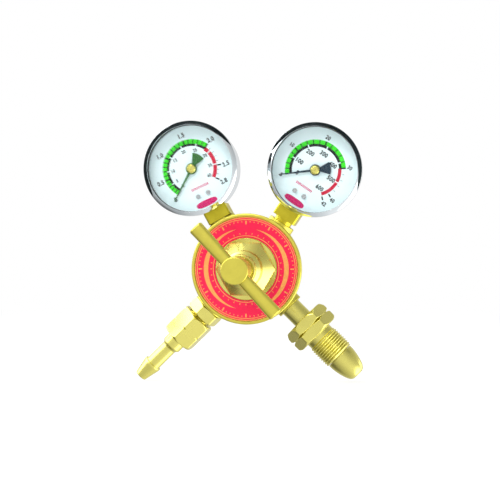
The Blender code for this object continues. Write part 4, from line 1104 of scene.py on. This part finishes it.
class REGULATOR_OT_label(RegulatorStep):
    """Crimson label ring with a plain scale in gold foil"""

    bl_idname = "regulator.label"
    bl_label = "Label ring"

    def execute(self, context):
        low, high = span("label_ring", FRONT)
        outer = BODY_R - RIM_WIDTH - CLEARANCE
        ring = rounded([(LABEL_HOLE_R, low), (outer, low), (outer, high, 0.15),
                        (LABEL_HOLE_R, high, 0.15)], 2)
        add_piece("enamel_label", lathe(ring), label_enamel(), FRONT, "label_ring")
        ends = high + INK_LIFT, high + size("foil_height")
        foil = [band(radius, radius + LABEL_LINE, 0, 360, *ends) for radius in LABEL_RINGS]
        ticks = [("fine" if k % 6 else "bold", 5 * k) for k in range(72)]
        ticks += [("inner", 10 * k) for k in range(36)]
        for kind, angle in ticks:
            near, far, width = LABEL_TICKS[kind]
            foil.append(tick(near, far, angle, width, *ends))
        foil += [crescent(CRESCENT_R, start, start + CRESCENT_ARC, CRESCENT_HALF_WIDTH, *ends)
                 for start in (15, 195)]
        add_piece("label_foil", merged(foil), gold_foil(), FRONT)
        return {"FINISHED"}


class REGULATOR_OT_bonnet(RegulatorStep):
    """Bonnet with its hexagon base, cone and tower"""

    bl_idname = "regulator.bonnet"
    bl_label = "Bonnet"

    def execute(self, context):
        foot, top = span("bonnet", FRONT)
        corner = corner_of(BONNET_FLATS)
        edge = size("edge_round")
        spigot_r = BONNET_HOLE_R - CLEARANCE
        flange_foot = LABEL_FLOOR + CLEARANCE
        outline = rounded([
            (SPRING_BORE_R, foot), (spigot_r, foot), (spigot_r, flange_foot),
            (FLANGE_R, flange_foot), (FLANGE_R, HEX_FOOT, edge), (corner, HEX_FOOT + 2 * HAIR),
            (corner, CONE_FOOT, 0.2), (TOWER_FOOT_R, TOWER_FOOT), (TOWER_R, TOWER_TOP, 0.3),
            (NECK_R, NECK_FOOT, 2 * edge), (NECK_R, top, edge), (SCREW_HOLE_R, top, edge),
            (SCREW_HOLE_R, SPRING_ROOF), (SPRING_BORE_R, SPRING_ROOF)])
        hexagon = flattened(6, BONNET_FLATS, 0, HEX_FOOT + HAIR, TOWER_FOOT, BONNET_SOFTNESS)
        shape = lathe(dense(outline, DETAIL, SPRING_BORE_R), 2 * SIDES, [hexagon])
        add_piece("hexagon_bonnet", shape, turned_brass(), FRONT, "bonnet")
        return {"FINISHED"}


class REGULATOR_OT_adjuster(RegulatorStep):
    """Forged T-bar and its threaded screw"""

    bl_idname = "regulator.adjuster"
    bl_label = "T-screw"

    def execute(self, context):
        low, high = span("t_handle", FRONT)
        bore_r = SCREW_SHANK_R + CLEARANCE
        shape = lathe(rounded([
            (0, low + HUB_BORE), (bore_r, low + HUB_BORE), (bore_r, low), (HUB_R, low, HUB_EDGE),
            (HUB_R, high, HUB_EDGE), (0, high)]))
        middle = Matrix.Translation((0, 0, high - ARM_SETBACK - ARM_DEPTH / 2))
        for side in (0, 180):
            shape = combined(shape, self.arm(), middle @ turn(ARM_ANGLE + side), "UNION")
        add_piece("forged_t_bar", shape, forged_brass(), FRONT, "t_handle",
                  "adjuster")
        self.add_screw(low - CLEARANCE)
        return {"FINISHED"}

    def arm(self):
        """An arm along x: its section swells towards the end and closes in a soft round."""
        end = ARM_LENGTH / 2
        stations = [(SCREW_SHANK_R + 1.4, ARM_WIDTH, 1.0)]
        for k in range(1, 9):
            share = k / 8
            reach = HUB_R + (end - ARM_END_ROUND - HUB_R) * share
            stations.append((reach, ARM_WIDTH + (ARM_END_WIDTH - ARM_WIDTH) * share, 1.0))
        for k in range(1, 6):
            angle = math.radians(90 * k / 5)
            shrink = ARM_END_ROUND * (1 - math.cos(angle))
            stations.append((end - ARM_END_ROUND * (1 - math.sin(angle)),
                             ARM_END_WIDTH - 2 * shrink, 1 - 2 * shrink / ARM_DEPTH))
        section = softened(ARM_SECTION, 2)
        shape = bmesh.new()
        rings = [[shape.verts.new((reach, across * width / 2, depth * deep * ARM_DEPTH / 2))
                  for across, depth in section] for reach, width, deep in stations]
        for ring, following in zip(rings, rings[1:]):
            bridge(shape, ring, following)
        shape.faces.new(rings[0])
        shape.faces.new(rings[-1])
        return shape

    def add_screw(self, thread_end):
        low, high = span("adjusting_screw", FRONT)
        outline = rounded([
            (0, low + SCREW_POCKET), (SCREW_POCKET_R, low + SCREW_POCKET), (SCREW_POCKET_R, low),
            (SCREW_R, low), (SCREW_R, thread_end), (SCREW_SHANK_R, thread_end),
            (SCREW_SHANK_R, high), (0, high)])
        thread = threaded(SCREW_R, SCREW_DEPTH, SCREW_PITCH, low, thread_end)
        add_piece("t_screw", lathe(dense(outline, SCREW_PITCH / 12), 96, [thread]),
                  turned_brass(), FRONT, "adjusting_screw", "adjuster", 60)


class REGULATOR_OT_inlet(RegulatorStep):
    """Bull-nose stem and its spinning nut"""

    bl_idname = "regulator.inlet"
    bl_label = "Inlet"

    def execute(self, context):
        low, tip = span("inlet_stem", INLET)
        nose = tip - NOSE_LENGTH
        edge = size("edge_round")
        outline = [(FILTER_R, low), (PORT_THREAD_R, low), (PORT_THREAD_R, SEAT), (TUBE_R, SEAT),
                   (TUBE_R, nose), (NOSE_R, nose, edge), (NOSE_R, nose + NOSE_COLLAR, edge)]
        steps = 24
        curve = NOSE_LENGTH - NOSE_COLLAR
        for k in range(1, steps + 1):
            share = k / steps
            fall = (1 - math.sqrt(1 - share ** 2)) ** NOSE_FULLNESS
            outline.append((NOSE_R + (NOSE_TIP_R - NOSE_R) * fall,
                            nose + NOSE_COLLAR + curve * share))
        outline += [(BORE_R, tip, edge), (BORE_R, low + FILTER_DEPTH),
                    (FILTER_R, low + FILTER_DEPTH)]
        add_piece("bull_nose_stem", lathe(rounded(outline)), turned_brass(), INLET,
                  "inlet_stem", sharp=40)
        self.add_nut()
        return {"FINISHED"}

    def add_nut(self):
        back, front = span("inlet_nut", INLET)
        hex_front = back + NUT_HEX
        thread_start = hex_front + NUT_RELIEF
        middle = back + NUT_HEX / 2
        corner = corner_of(NUT_FLATS)
        outline = rounded([
            (NUT_HOLE_R, back, 0.5), (corner - 2.0, back, 0.8), (corner, back + 3.4, 2.2),
            (corner, middle - 1.1, 1.1), (corner - NUT_GROOVE * size("notch_depth"), middle),
            (corner, middle + 1.1, 1.1), (corner, hex_front - 1.6, 1.6),
            (corner - 2.2, hex_front, 0.6), (NUT_RELIEF_R, hex_front, 0.5),
            (NUT_RELIEF_R, thread_start, 0.3), (NUT_THREAD_R, thread_start + 0.5),
            (NUT_THREAD_R, front), (NUT_HOLE_R, front)])
        changes = [
            flattened(6, NUT_FLATS, NUT_TURN, top=hex_front + HAIR),
            threaded(NUT_THREAD_R, NUT_THREAD_DEPTH, NUT_PITCH, thread_start, front + 0.4)]
        add_piece("notched_inlet_nut",
                  lathe(dense(outline, NUT_PITCH / 10, NUT_HOLE_R), 192, changes),
                  turned_brass(), INLET, "inlet_nut", "inlet_nut", 50)


class REGULATOR_OT_outlet(RegulatorStep):
    """Outlet connector, its nut and the hose tail"""

    bl_idname = "regulator.outlet"
    bl_label = "Outlet"

    def execute(self, context):
        edge = size("edge_round")
        self.add_connector(edge)
        self.add_nut(edge)
        self.add_tail(edge)
        return {"FINISHED"}

    def add_connector(self, edge):
        low, end = span("outlet_connector", OUTLET)
        corner = corner_of(CONNECTOR_FLATS)
        outline = rounded([
            (BORE_R, low), (PORT_THREAD_R, low), (PORT_THREAD_R, SEAT), (corner - 1.0, SEAT, edge),
            (corner, SEAT + 0.9, edge), (corner, CONNECTOR_FRONT - 0.9, edge),
            (corner - 1.0, CONNECTOR_FRONT, edge), (CONNECTOR_THREAD_R, CONNECTOR_FRONT),
            (CONNECTOR_THREAD_R, end), (CONNECTOR_SEAT_R, end, edge),
            (BORE_R, end - CONNECTOR_SEAT_R + BORE_R)])
        changes = [
            threaded(CONNECTOR_THREAD_R, OUTLET_THREAD_DEPTH, OUTLET_PITCH,
                     CONNECTOR_FRONT + 2 * HAIR, end),
            flattened(6, CONNECTOR_FLATS, CONNECTOR_TURN, SEAT - HAIR, CONNECTOR_FRONT + HAIR)]
        add_piece("hexagon_connector",
                  lathe(dense(outline, OUTLET_PITCH / 10, BORE_R), SIDES, changes),
                  turned_brass(), OUTLET, "outlet_connector", sharp=50)

    def add_nut(self, edge):
        back, front = span("outlet_nut", OUTLET)
        corner = corner_of(OUTLET_NUT_FLATS)
        middle = (back + front) / 2
        outline = rounded([
            (OUTLET_NUT_HOLE_R, back, edge), (corner - 1.6, back, edge),
            (corner, back + 1.7, 1.2), (corner, middle - 0.7, 0.7),
            (corner - OUTLET_NUT_GROOVE * size("notch_depth"), middle),
            (corner, middle + 0.7, 0.7), (corner, front - 1.7, 1.2),
            (corner - 1.6, front, edge), (TAIL_HOLE_R, front, edge), (TAIL_HOLE_R, TAIL_SHELF),
            (OUTLET_NUT_HOLE_R, TAIL_SHELF)])
        hexagon = flattened(6, OUTLET_NUT_FLATS, OUTLET_NUT_TURN)
        add_piece("notched_outlet_nut",
                  lathe(dense(outline, DETAIL, OUTLET_NUT_HOLE_R), 2 * SIDES, [hexagon]),
                  turned_brass(), OUTLET, "outlet_nut", "outlet_nut")

    def add_tail(self, edge):
        low, end = span("hose_tail", OUTLET)
        head_front = TAIL_SHELF - CLEARANCE
        outline = rounded([
            (BORE_R, low), (CONNECTOR_SEAT_R, low, edge),
            (TAIL_HEAD_R, head_front - TAIL_HEAD, edge), (TAIL_HEAD_R, head_front, edge),
            (TAIL_NECK_R, head_front), (TAIL_NECK_R, TAIL_COLLAR_BACK),
            (TAIL_COLLAR_R, TAIL_COLLAR_BACK, edge), (TAIL_COLLAR_R, TAIL_COLLAR_FRONT, 0.9),
            (TAIL_SHANK_R, TAIL_COLLAR_FRONT + 1.4, 1.2), (TAIL_SHANK_R, TAIL_BARB_BACK, 0.3),
            (TAIL_BARB_R, TAIL_BARB_BACK, 0.3), (TAIL_BARB_R, TAIL_BARB_BACK + 1.4, 1.0),
            (TAIL_TIP_R, end, edge), (BORE_R, end, edge)])
        add_piece("barbed_hose_tail", lathe(outline), turned_brass(), OUTLET,
                  "hose_tail", sharp=40)


class REGULATOR_OT_gauge_cases(RegulatorStep):
    """Stems, cases, bezels, windows and case screws of both gauges"""

    bl_idname = "regulator.gauge_cases"
    bl_label = "Gauge cases"

    def execute(self, context):
        chrome, brass, glass = chrome_plate(), drawn_brass(), window_glass()
        steel, rubber = zinc_steel(), nitrile_rubber()
        for prefix in DIALS:
            place = gauge_place(prefix)
            self.add_case(prefix, place, chrome)
            self.add_bezel(prefix, place, chrome)
            self.add_window(prefix, place, glass, rubber)
            self.add_stem(prefix, brass)
            for hand, side in HANDS.items():
                node = f"{prefix}case_screw_{hand}"
                seat = place @ Matrix.Translation(
                    Vector((side * CASE_SCREW_SPREAD, -CASE_SCREW_DROP, 0)) * MM)
                low, high = span(node, seat)
                screw = slotted_screw(*CASE_SCREW_RADII, high, low + CASE_SCREW_HEAD, low,
                                      30 * side)
                add_piece(f"{node}_slotted", screw, steel, seat, node)
        return {"FINISHED"}

    def add_case(self, prefix, place, material):
        inner = CASE_R - CASE_WALL
        floor = CASE_BACK + CASE_WALL
        edge = size("forging_round")
        shape = lathe(rounded([
            (0, CASE_BACK), (CASE_R, CASE_BACK, 1.8 * edge), (CASE_R, CASE_FRONT),
            (inner, CASE_FRONT), (inner, floor, edge), (0, floor)]))
        hole = rod(STEM_NECK_R + CLEARANCE, inner / 2, CASE_R + 1)
        sideways = Matrix.Rotation(math.radians(90), 4, "X")
        shape = combined(shape, hole, sideways, "DIFFERENCE")
        for side in HANDS.values():
            spot = Matrix.Translation((side * CASE_SCREW_SPREAD, -CASE_SCREW_DROP, 0))
            hole = rod(1.6, CASE_BACK - 1, CASE_BACK + 2, 24)
            shape = combined(shape, hole, spot, "DIFFERENCE")
        add_piece(prefix + "pressed_case", shape, material, place, prefix + "case")

    def add_bezel(self, prefix, place, material):
        inner = CASE_R + CLEARANCE
        lip_back = BEZEL_FRONT - BEZEL_LIP
        first, last = BEZEL_SLOPE
        steps = 16
        width = (BEZEL_R - BEZEL_LIP_R) / steps
        front = [(BEZEL_LIP_R, BEZEL_FRONT)]
        for k in range(steps):
            lean = math.radians(first + (last - first) * (k + 0.5) / steps)
            front.append((front[-1][0] + width, front[-1][1] - width * math.tan(lean)))
        front[0] += (0.25,)
        front[-1] += (0.3,)
        outline = [(inner, BEZEL_BACK, 0.2), (BEZEL_R, BEZEL_BACK, 0.4), *front[::-1],
                   (BEZEL_LIP_R, lip_back, 0.1), (inner, lip_back)]
        add_piece(prefix + "plated_bezel", lathe(rounded(outline), 2 * SIDES), material, place,
                  prefix + "bezel")

    def add_window(self, prefix, place, glass, rubber):
        low, high = span(prefix + "window", place)
        pane = rounded([(0, low), (CASE_R, low, 0.3), (CASE_R, high, 0.3), (0, high)], 2)
        add_piece(prefix + "glass_disc", lathe(pane), glass, place, prefix + "window")
        low, high = span(prefix + "window_gasket", place)
        inner = CASE_R - GASKET_WIDTH
        ring = rounded([(inner, low, 0.2), (CASE_R, low, 0.2), (CASE_R, high, 0.2),
                        (inner, high, 0.2)], 3)
        add_piece(prefix + "rubber_ring", lathe(ring), rubber, place,
                  prefix + "window_gasket")

    def add_stem(self, prefix, material):
        place = stem_place(prefix)
        low, high = span(prefix + "socket", place)
        reach = stem_of(prefix)[1]
        foot = PORT_FACE + STEM_FOOT[prefix]
        top = reach - CASE_R - CLEARANCE
        column_foot = reach - (CASE_R - CASE_WALL - 1.2)
        edge = size("edge_round")
        outline = rounded([
            (0, low), (PORT_THREAD_R, low, edge), (PORT_THREAD_R, foot),
            (STEM_CORNER_R, foot, edge), (STEM_CORNER_R, top, edge), (STEM_NECK_R, top),
            (STEM_NECK_R, column_foot + 1.4), (0, column_foot + 1.4)])
        square = flattened(4, STEM_FLATS, 45, foot - HAIR, top + HAIR)
        shape = lathe(dense(outline, DETAIL), SIDES, [square])
        half = COLUMN_WIDTH / 2
        back = -CASE_BACK - CASE_WALL - CLEARANCE
        column = plate([(-COLUMN_FRONT, -half), (back, -half), (back, half),
                        (-COLUMN_FRONT, half)], column_foot, high)
        shape = combined(shape, column, Matrix.Identity(4), "UNION")
        add_piece(prefix + "square_stem", shape, material, place,
                  prefix + "socket")


class REGULATOR_OT_dials(RegulatorStep):
    """Dials with their printed scales and screws"""

    bl_idname = "regulator.dials"
    bl_label = "Dials"

    def execute(self, context):
        paint, steel = dial_paint(), zinc_steel()
        inks = {name: ink(f"{name} screen ink", tone) for name, tone in (
            ("black", "numerals"), ("green", "safe"), ("red", "danger"), ("crimson", "crimson"))}
        for prefix, dial in DIALS.items():
            place = dial_place(prefix)
            face = lathe(rounded([(DIAL_HOLE_R, DIAL_BACK), (DIAL_R, DIAL_BACK),
                                  (DIAL_R, DIAL_FRONT, 0.2), (DIAL_HOLE_R, DIAL_FRONT)], 2))
            for hand, side in HANDS.items():
                node = f"{prefix}dial_screw_{hand}"
                spot = Vector((*clock(DIAL_SCREW_PLACE, -side * DIAL_SCREW_SPREAD), 0))
                seat = place @ Matrix.Translation(spot * MM)
                low, high = span(node, seat)
                hole = rod(1.0, DIAL_BACK - 1, DIAL_FRONT + 1, 24)
                face = combined(face, hole, Matrix.Translation(spot), "DIFFERENCE")
                screw = slotted_screw(*DIAL_SCREW_RADII, low, high - DIAL_SCREW_HEAD, high,
                                      40 * side, 1.1)
                add_piece(f"{node}_slotted", screw, steel, seat, node)
            add_piece(prefix + "dial_face", face, paint, place, prefix + "dial")
            for colour, shapes in self.printing(dial).items():
                add_piece(f"{prefix}print_{colour}", merged(shapes), inks[colour], place)
        return {"FINISHED"}

    def printing(self, dial):
        """Shapes of a dial's inks, by colour."""
        low = DIAL_FRONT + INK_LIFT
        high = low + size("print_height")
        over = high + size("print_height") / 2
        outer, inner = dial["outer"], dial["inner"]
        start, end = outer[0][1], outer[-1][1]
        change = outer[dial["red_from"]][1]
        green = [band(*dial["green"], start, change, low, high)]
        red, black = [], []
        marks = [angle for _, angle in inner]
        for here, following in zip(marks, marks[1:]):
            first = here + (BAND_GAP if here > start else 0)
            last = following - BAND_GAP
            if first < change:
                black.append(band(*dial["black"], first, min(last, change), low, high))
            if last > change:
                last += BAND_GAP if following == end else 0
                red.append(band(*dial["red"], max(first, change), last, low, high))
        inner_r, outer_r = dial["green"]
        for k, count in enumerate(dial["splits"]):
            first, last = outer[k][1], outer[k + 1][1]
            for m in range(count + 1):
                angle = first + (last - first) * m / count
                main = m in (0, count)
                if angle <= change + HAIR:
                    ends = inner_r - (0.8 if main else 0), outer_r
                    width = MARK_WIDTHS["main" if main else "fine"]
                else:
                    ends = inner_r + 0.5, outer_r + (0.3 if main else -0.9)
                    width = MARK_WIDTHS["main" if main else "red"]
                black.append(tick(*ends, angle, width, low, over))
        for name in ("outer", "inner"):
            radius, height = dial[name + "_numerals"]
            black += [numeral(text, height, clock(radius, angle), low, high)
                      for text, angle in dial[name]]
        crimson = [plate(softened(CRIMSON_BAR, 3), low, high)]
        foot, top = DASH_ENDS
        for x in range(-6, 7):
            left, right = x - DASH_HALF_WIDTH, x + DASH_HALF_WIDTH
            crimson.append(plate([(left, foot), (right, foot), (right, top), (left, top)],
                                 low, high))
        return {"green": green, "red": red, "crimson": crimson, "black": black}


def numeral(text, height, centre, low, high):
    """Figures of a given height about a point, as a thin solid."""
    curve = bpy.data.curves.new("figures", "FONT")
    curve.body = text
    curve.space_character = FIGURE_SPACING
    curve.offset = FIGURE_WEIGHT
    curve.extrude = 0.1
    curve.resolution_u = 4
    shape = evaluated_shape(new_object("figures", curve, Matrix.Identity(4)))
    bpy.data.curves.remove(curve)
    bmesh.ops.remove_doubles(shape, verts=shape.verts, dist=1e-5)
    xs = [vertex.co.x for vertex in shape.verts]
    ys = [vertex.co.y for vertex in shape.verts]
    middle = Vector(((min(xs) + max(xs)) / 2, (min(ys) + max(ys)) / 2, 0))
    scale = height / (max(ys) - min(ys))
    for vertex in shape.verts:
        across = (vertex.co - middle) * scale
        vertex.co = (across.x * FIGURE_WIDTH + centre[0], across.y + centre[1],
                     high if vertex.co.z > 0 else low)
    return shape


class REGULATOR_OT_pointers(RegulatorStep):
    """Pointers and their brass bosses"""

    bl_idname = "regulator.pointers"
    bl_label = "Pointers"

    def execute(self, context):
        brass = turned_brass()
        lacquers = {"low_": pointer_lacquer("green-black lacquer", "low_pointer"),
                    "high_": pointer_lacquer("blue-black lacquer", "high_pointer")}
        for prefix, dial in DIALS.items():
            place = dial_place(prefix)
            body = prefix + "pointer"
            add_piece(prefix + "lacquered_pointer", self.pointer(), lacquers[prefix],
                      place @ turn(180 - dial["zero"]), body, body)
            low, high = span(prefix + "pointer_boss", place)
            outline = rounded([
                (BOSS_BORE_R, low), (BOSS_R, low, 0.2), (BOSS_R, low + 0.8, 0.5),
                (BOSS_R - 0.9, high, 0.5), (0.75, high, 0.1), (0.55, high - 0.2),
                (0, high - 0.2), (0, low + 1.0), (BOSS_BORE_R, low + 1.0)])
            add_piece(prefix + "turned_boss", lathe(outline, 72), brass, place,
                      prefix + "pointer_boss", body)
        return {"FINISHED"}

    def pointer(self):
        """A stamped pointer along y: thin blade, round hub and fan-shaped tail."""
        hub, tip = POINTER_HUB_R, POINTER_TIP_HALF_WIDTH
        neck = math.degrees(math.asin(POINTER_NECK / hub))
        blade = math.degrees(math.asin(POINTER_HALF_WIDTH / hub))
        sides = []
        for start, end in ((90 + blade, 270 - neck), (270 + neck, 450 - blade)):
            sides.append([polar(hub, start + (end - start) * k / 16) for k in range(17)])
        tail = [polar(POINTER_TAIL, 270 + POINTER_TAIL_SPREAD * (k / 6 - 1)) for k in range(13)]
        shape = plate([(tip, POINTER_TIP), (-tip, POINTER_TIP), *sides[0], *tail, *sides[1]],
                      POINTER_BACK, POINTER_FRONT)
        top = [edge for edge in shape.edges
               if all(vertex.co.z > POINTER_FRONT - HAIR for vertex in edge.verts)]
        bmesh.ops.recalc_face_normals(shape, faces=shape.faces)
        bmesh.ops.bevel(shape, geom=top, offset=0.1, segments=2, profile=0.6, affect="EDGES")
        return shape


class REGULATOR_OT_springs(RegulatorStep):
    """Coil springs, copied from their solids with a finish of their own"""

    bl_idname = "regulator.springs"
    bl_label = "Springs"

    def execute(self, context):
        steel = spring_steel()
        self.add_spring("main_spring", "button_feed", BUTTON_TRAVEL, steel)
        self.add_spring("poppet_spring", "valve_lift", VALVE_LIFT, steel)
        return {"FINISHED"}

    def add_spring(self, node, joint, travel, material):
        """The coil of a node, copied with a finish of its own; the joint is not used."""
        mesh = frame["nodes"][node].data.copy()
        mesh.materials.clear()
        mesh.materials.append(material)
        piece = new_object(node + "_coil", mesh, frame["nodes"][node].matrix_world.copy())
        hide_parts(node)
        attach(piece, "regulator")
        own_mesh(piece)


class REGULATOR_OT_inner_finishes(RegulatorStep):
    """Finishes of the inner pieces, which keep the shape of their solids"""

    bl_idname = "regulator.inner_finishes"
    bl_label = "Inner finishes"

    def execute(self, context):
        brass, steel, bronze = turned_brass(), zinc_steel(), phosphor_bronze()
        finishes = {
            "diaphragm": nitrile_rubber(), "slip_ring": brass, "diaphragm_plate": steel,
            "seat_nozzle": brass, "push_pin": steel, "poppet_seat": moulded_nylon(),
            "valve_poppet": brass, "spring_button": steel, "thrust_ball": steel,
            "inlet_filter": bronze,
        }
        of_gauge = {"stem_gasket": vulcanised_fibre(), "movement_frame": brass, "sector": brass,
                    "pinion_arbor": brass, "link": brass, "bourdon_tube": bronze}
        finishes.update({prefix + name: material for prefix in DIALS
                         for name, material in of_gauge.items()})
        for name, material in finishes.items():
            node = frame["nodes"][name]
            if not node.material_slots:
                node.data.materials.append(material)
            for slot in node.material_slots:
                slot.material = material
        return {"FINISHED"}


STEPS = (
    REGULATOR_OT_stage, REGULATOR_OT_body, REGULATOR_OT_label, REGULATOR_OT_bonnet,
    REGULATOR_OT_adjuster, REGULATOR_OT_inlet, REGULATOR_OT_outlet, REGULATOR_OT_gauge_cases,
    REGULATOR_OT_dials, REGULATOR_OT_pointers, REGULATOR_OT_springs,
    REGULATOR_OT_inner_finishes,
)


class REGULATOR_PT_panel(bpy.types.Panel):
    """Steps, sizes and colours of the regulator"""

    bl_idname = "REGULATOR_PT_panel"
    bl_label = "Gas regulator"
    bl_space_type = "VIEW_3D"
    bl_region_type = "UI"
    bl_category = "Regulator"

    def draw(self, context):
        for step in STEPS:
            self.layout.operator(step.bl_idname)
        for group in (context.scene.regulator_sizes, context.scene.regulator_colours):
            for name in group.__annotations__:
                self.layout.prop(group, name)


CLASSES = (RegulatorColours, RegulatorSizes, *STEPS, REGULATOR_PT_panel)


def register():
    for cls in CLASSES:
        bpy.utils.register_class(cls)
    bpy.types.Scene.regulator_colours = bpy.props.PointerProperty(type=RegulatorColours)
    bpy.types.Scene.regulator_sizes = bpy.props.PointerProperty(type=RegulatorSizes)


def unregister():
    del bpy.types.Scene.regulator_sizes
    del bpy.types.Scene.regulator_colours
    for cls in reversed(CLASSES):
        bpy.utils.unregister_class(cls)


def main():
    register()
    for step in STEPS:
        group, name = step.bl_idname.split(".")
        getattr(getattr(bpy.ops, group), name)()
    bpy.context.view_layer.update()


if __name__ == "__main__":
    main()
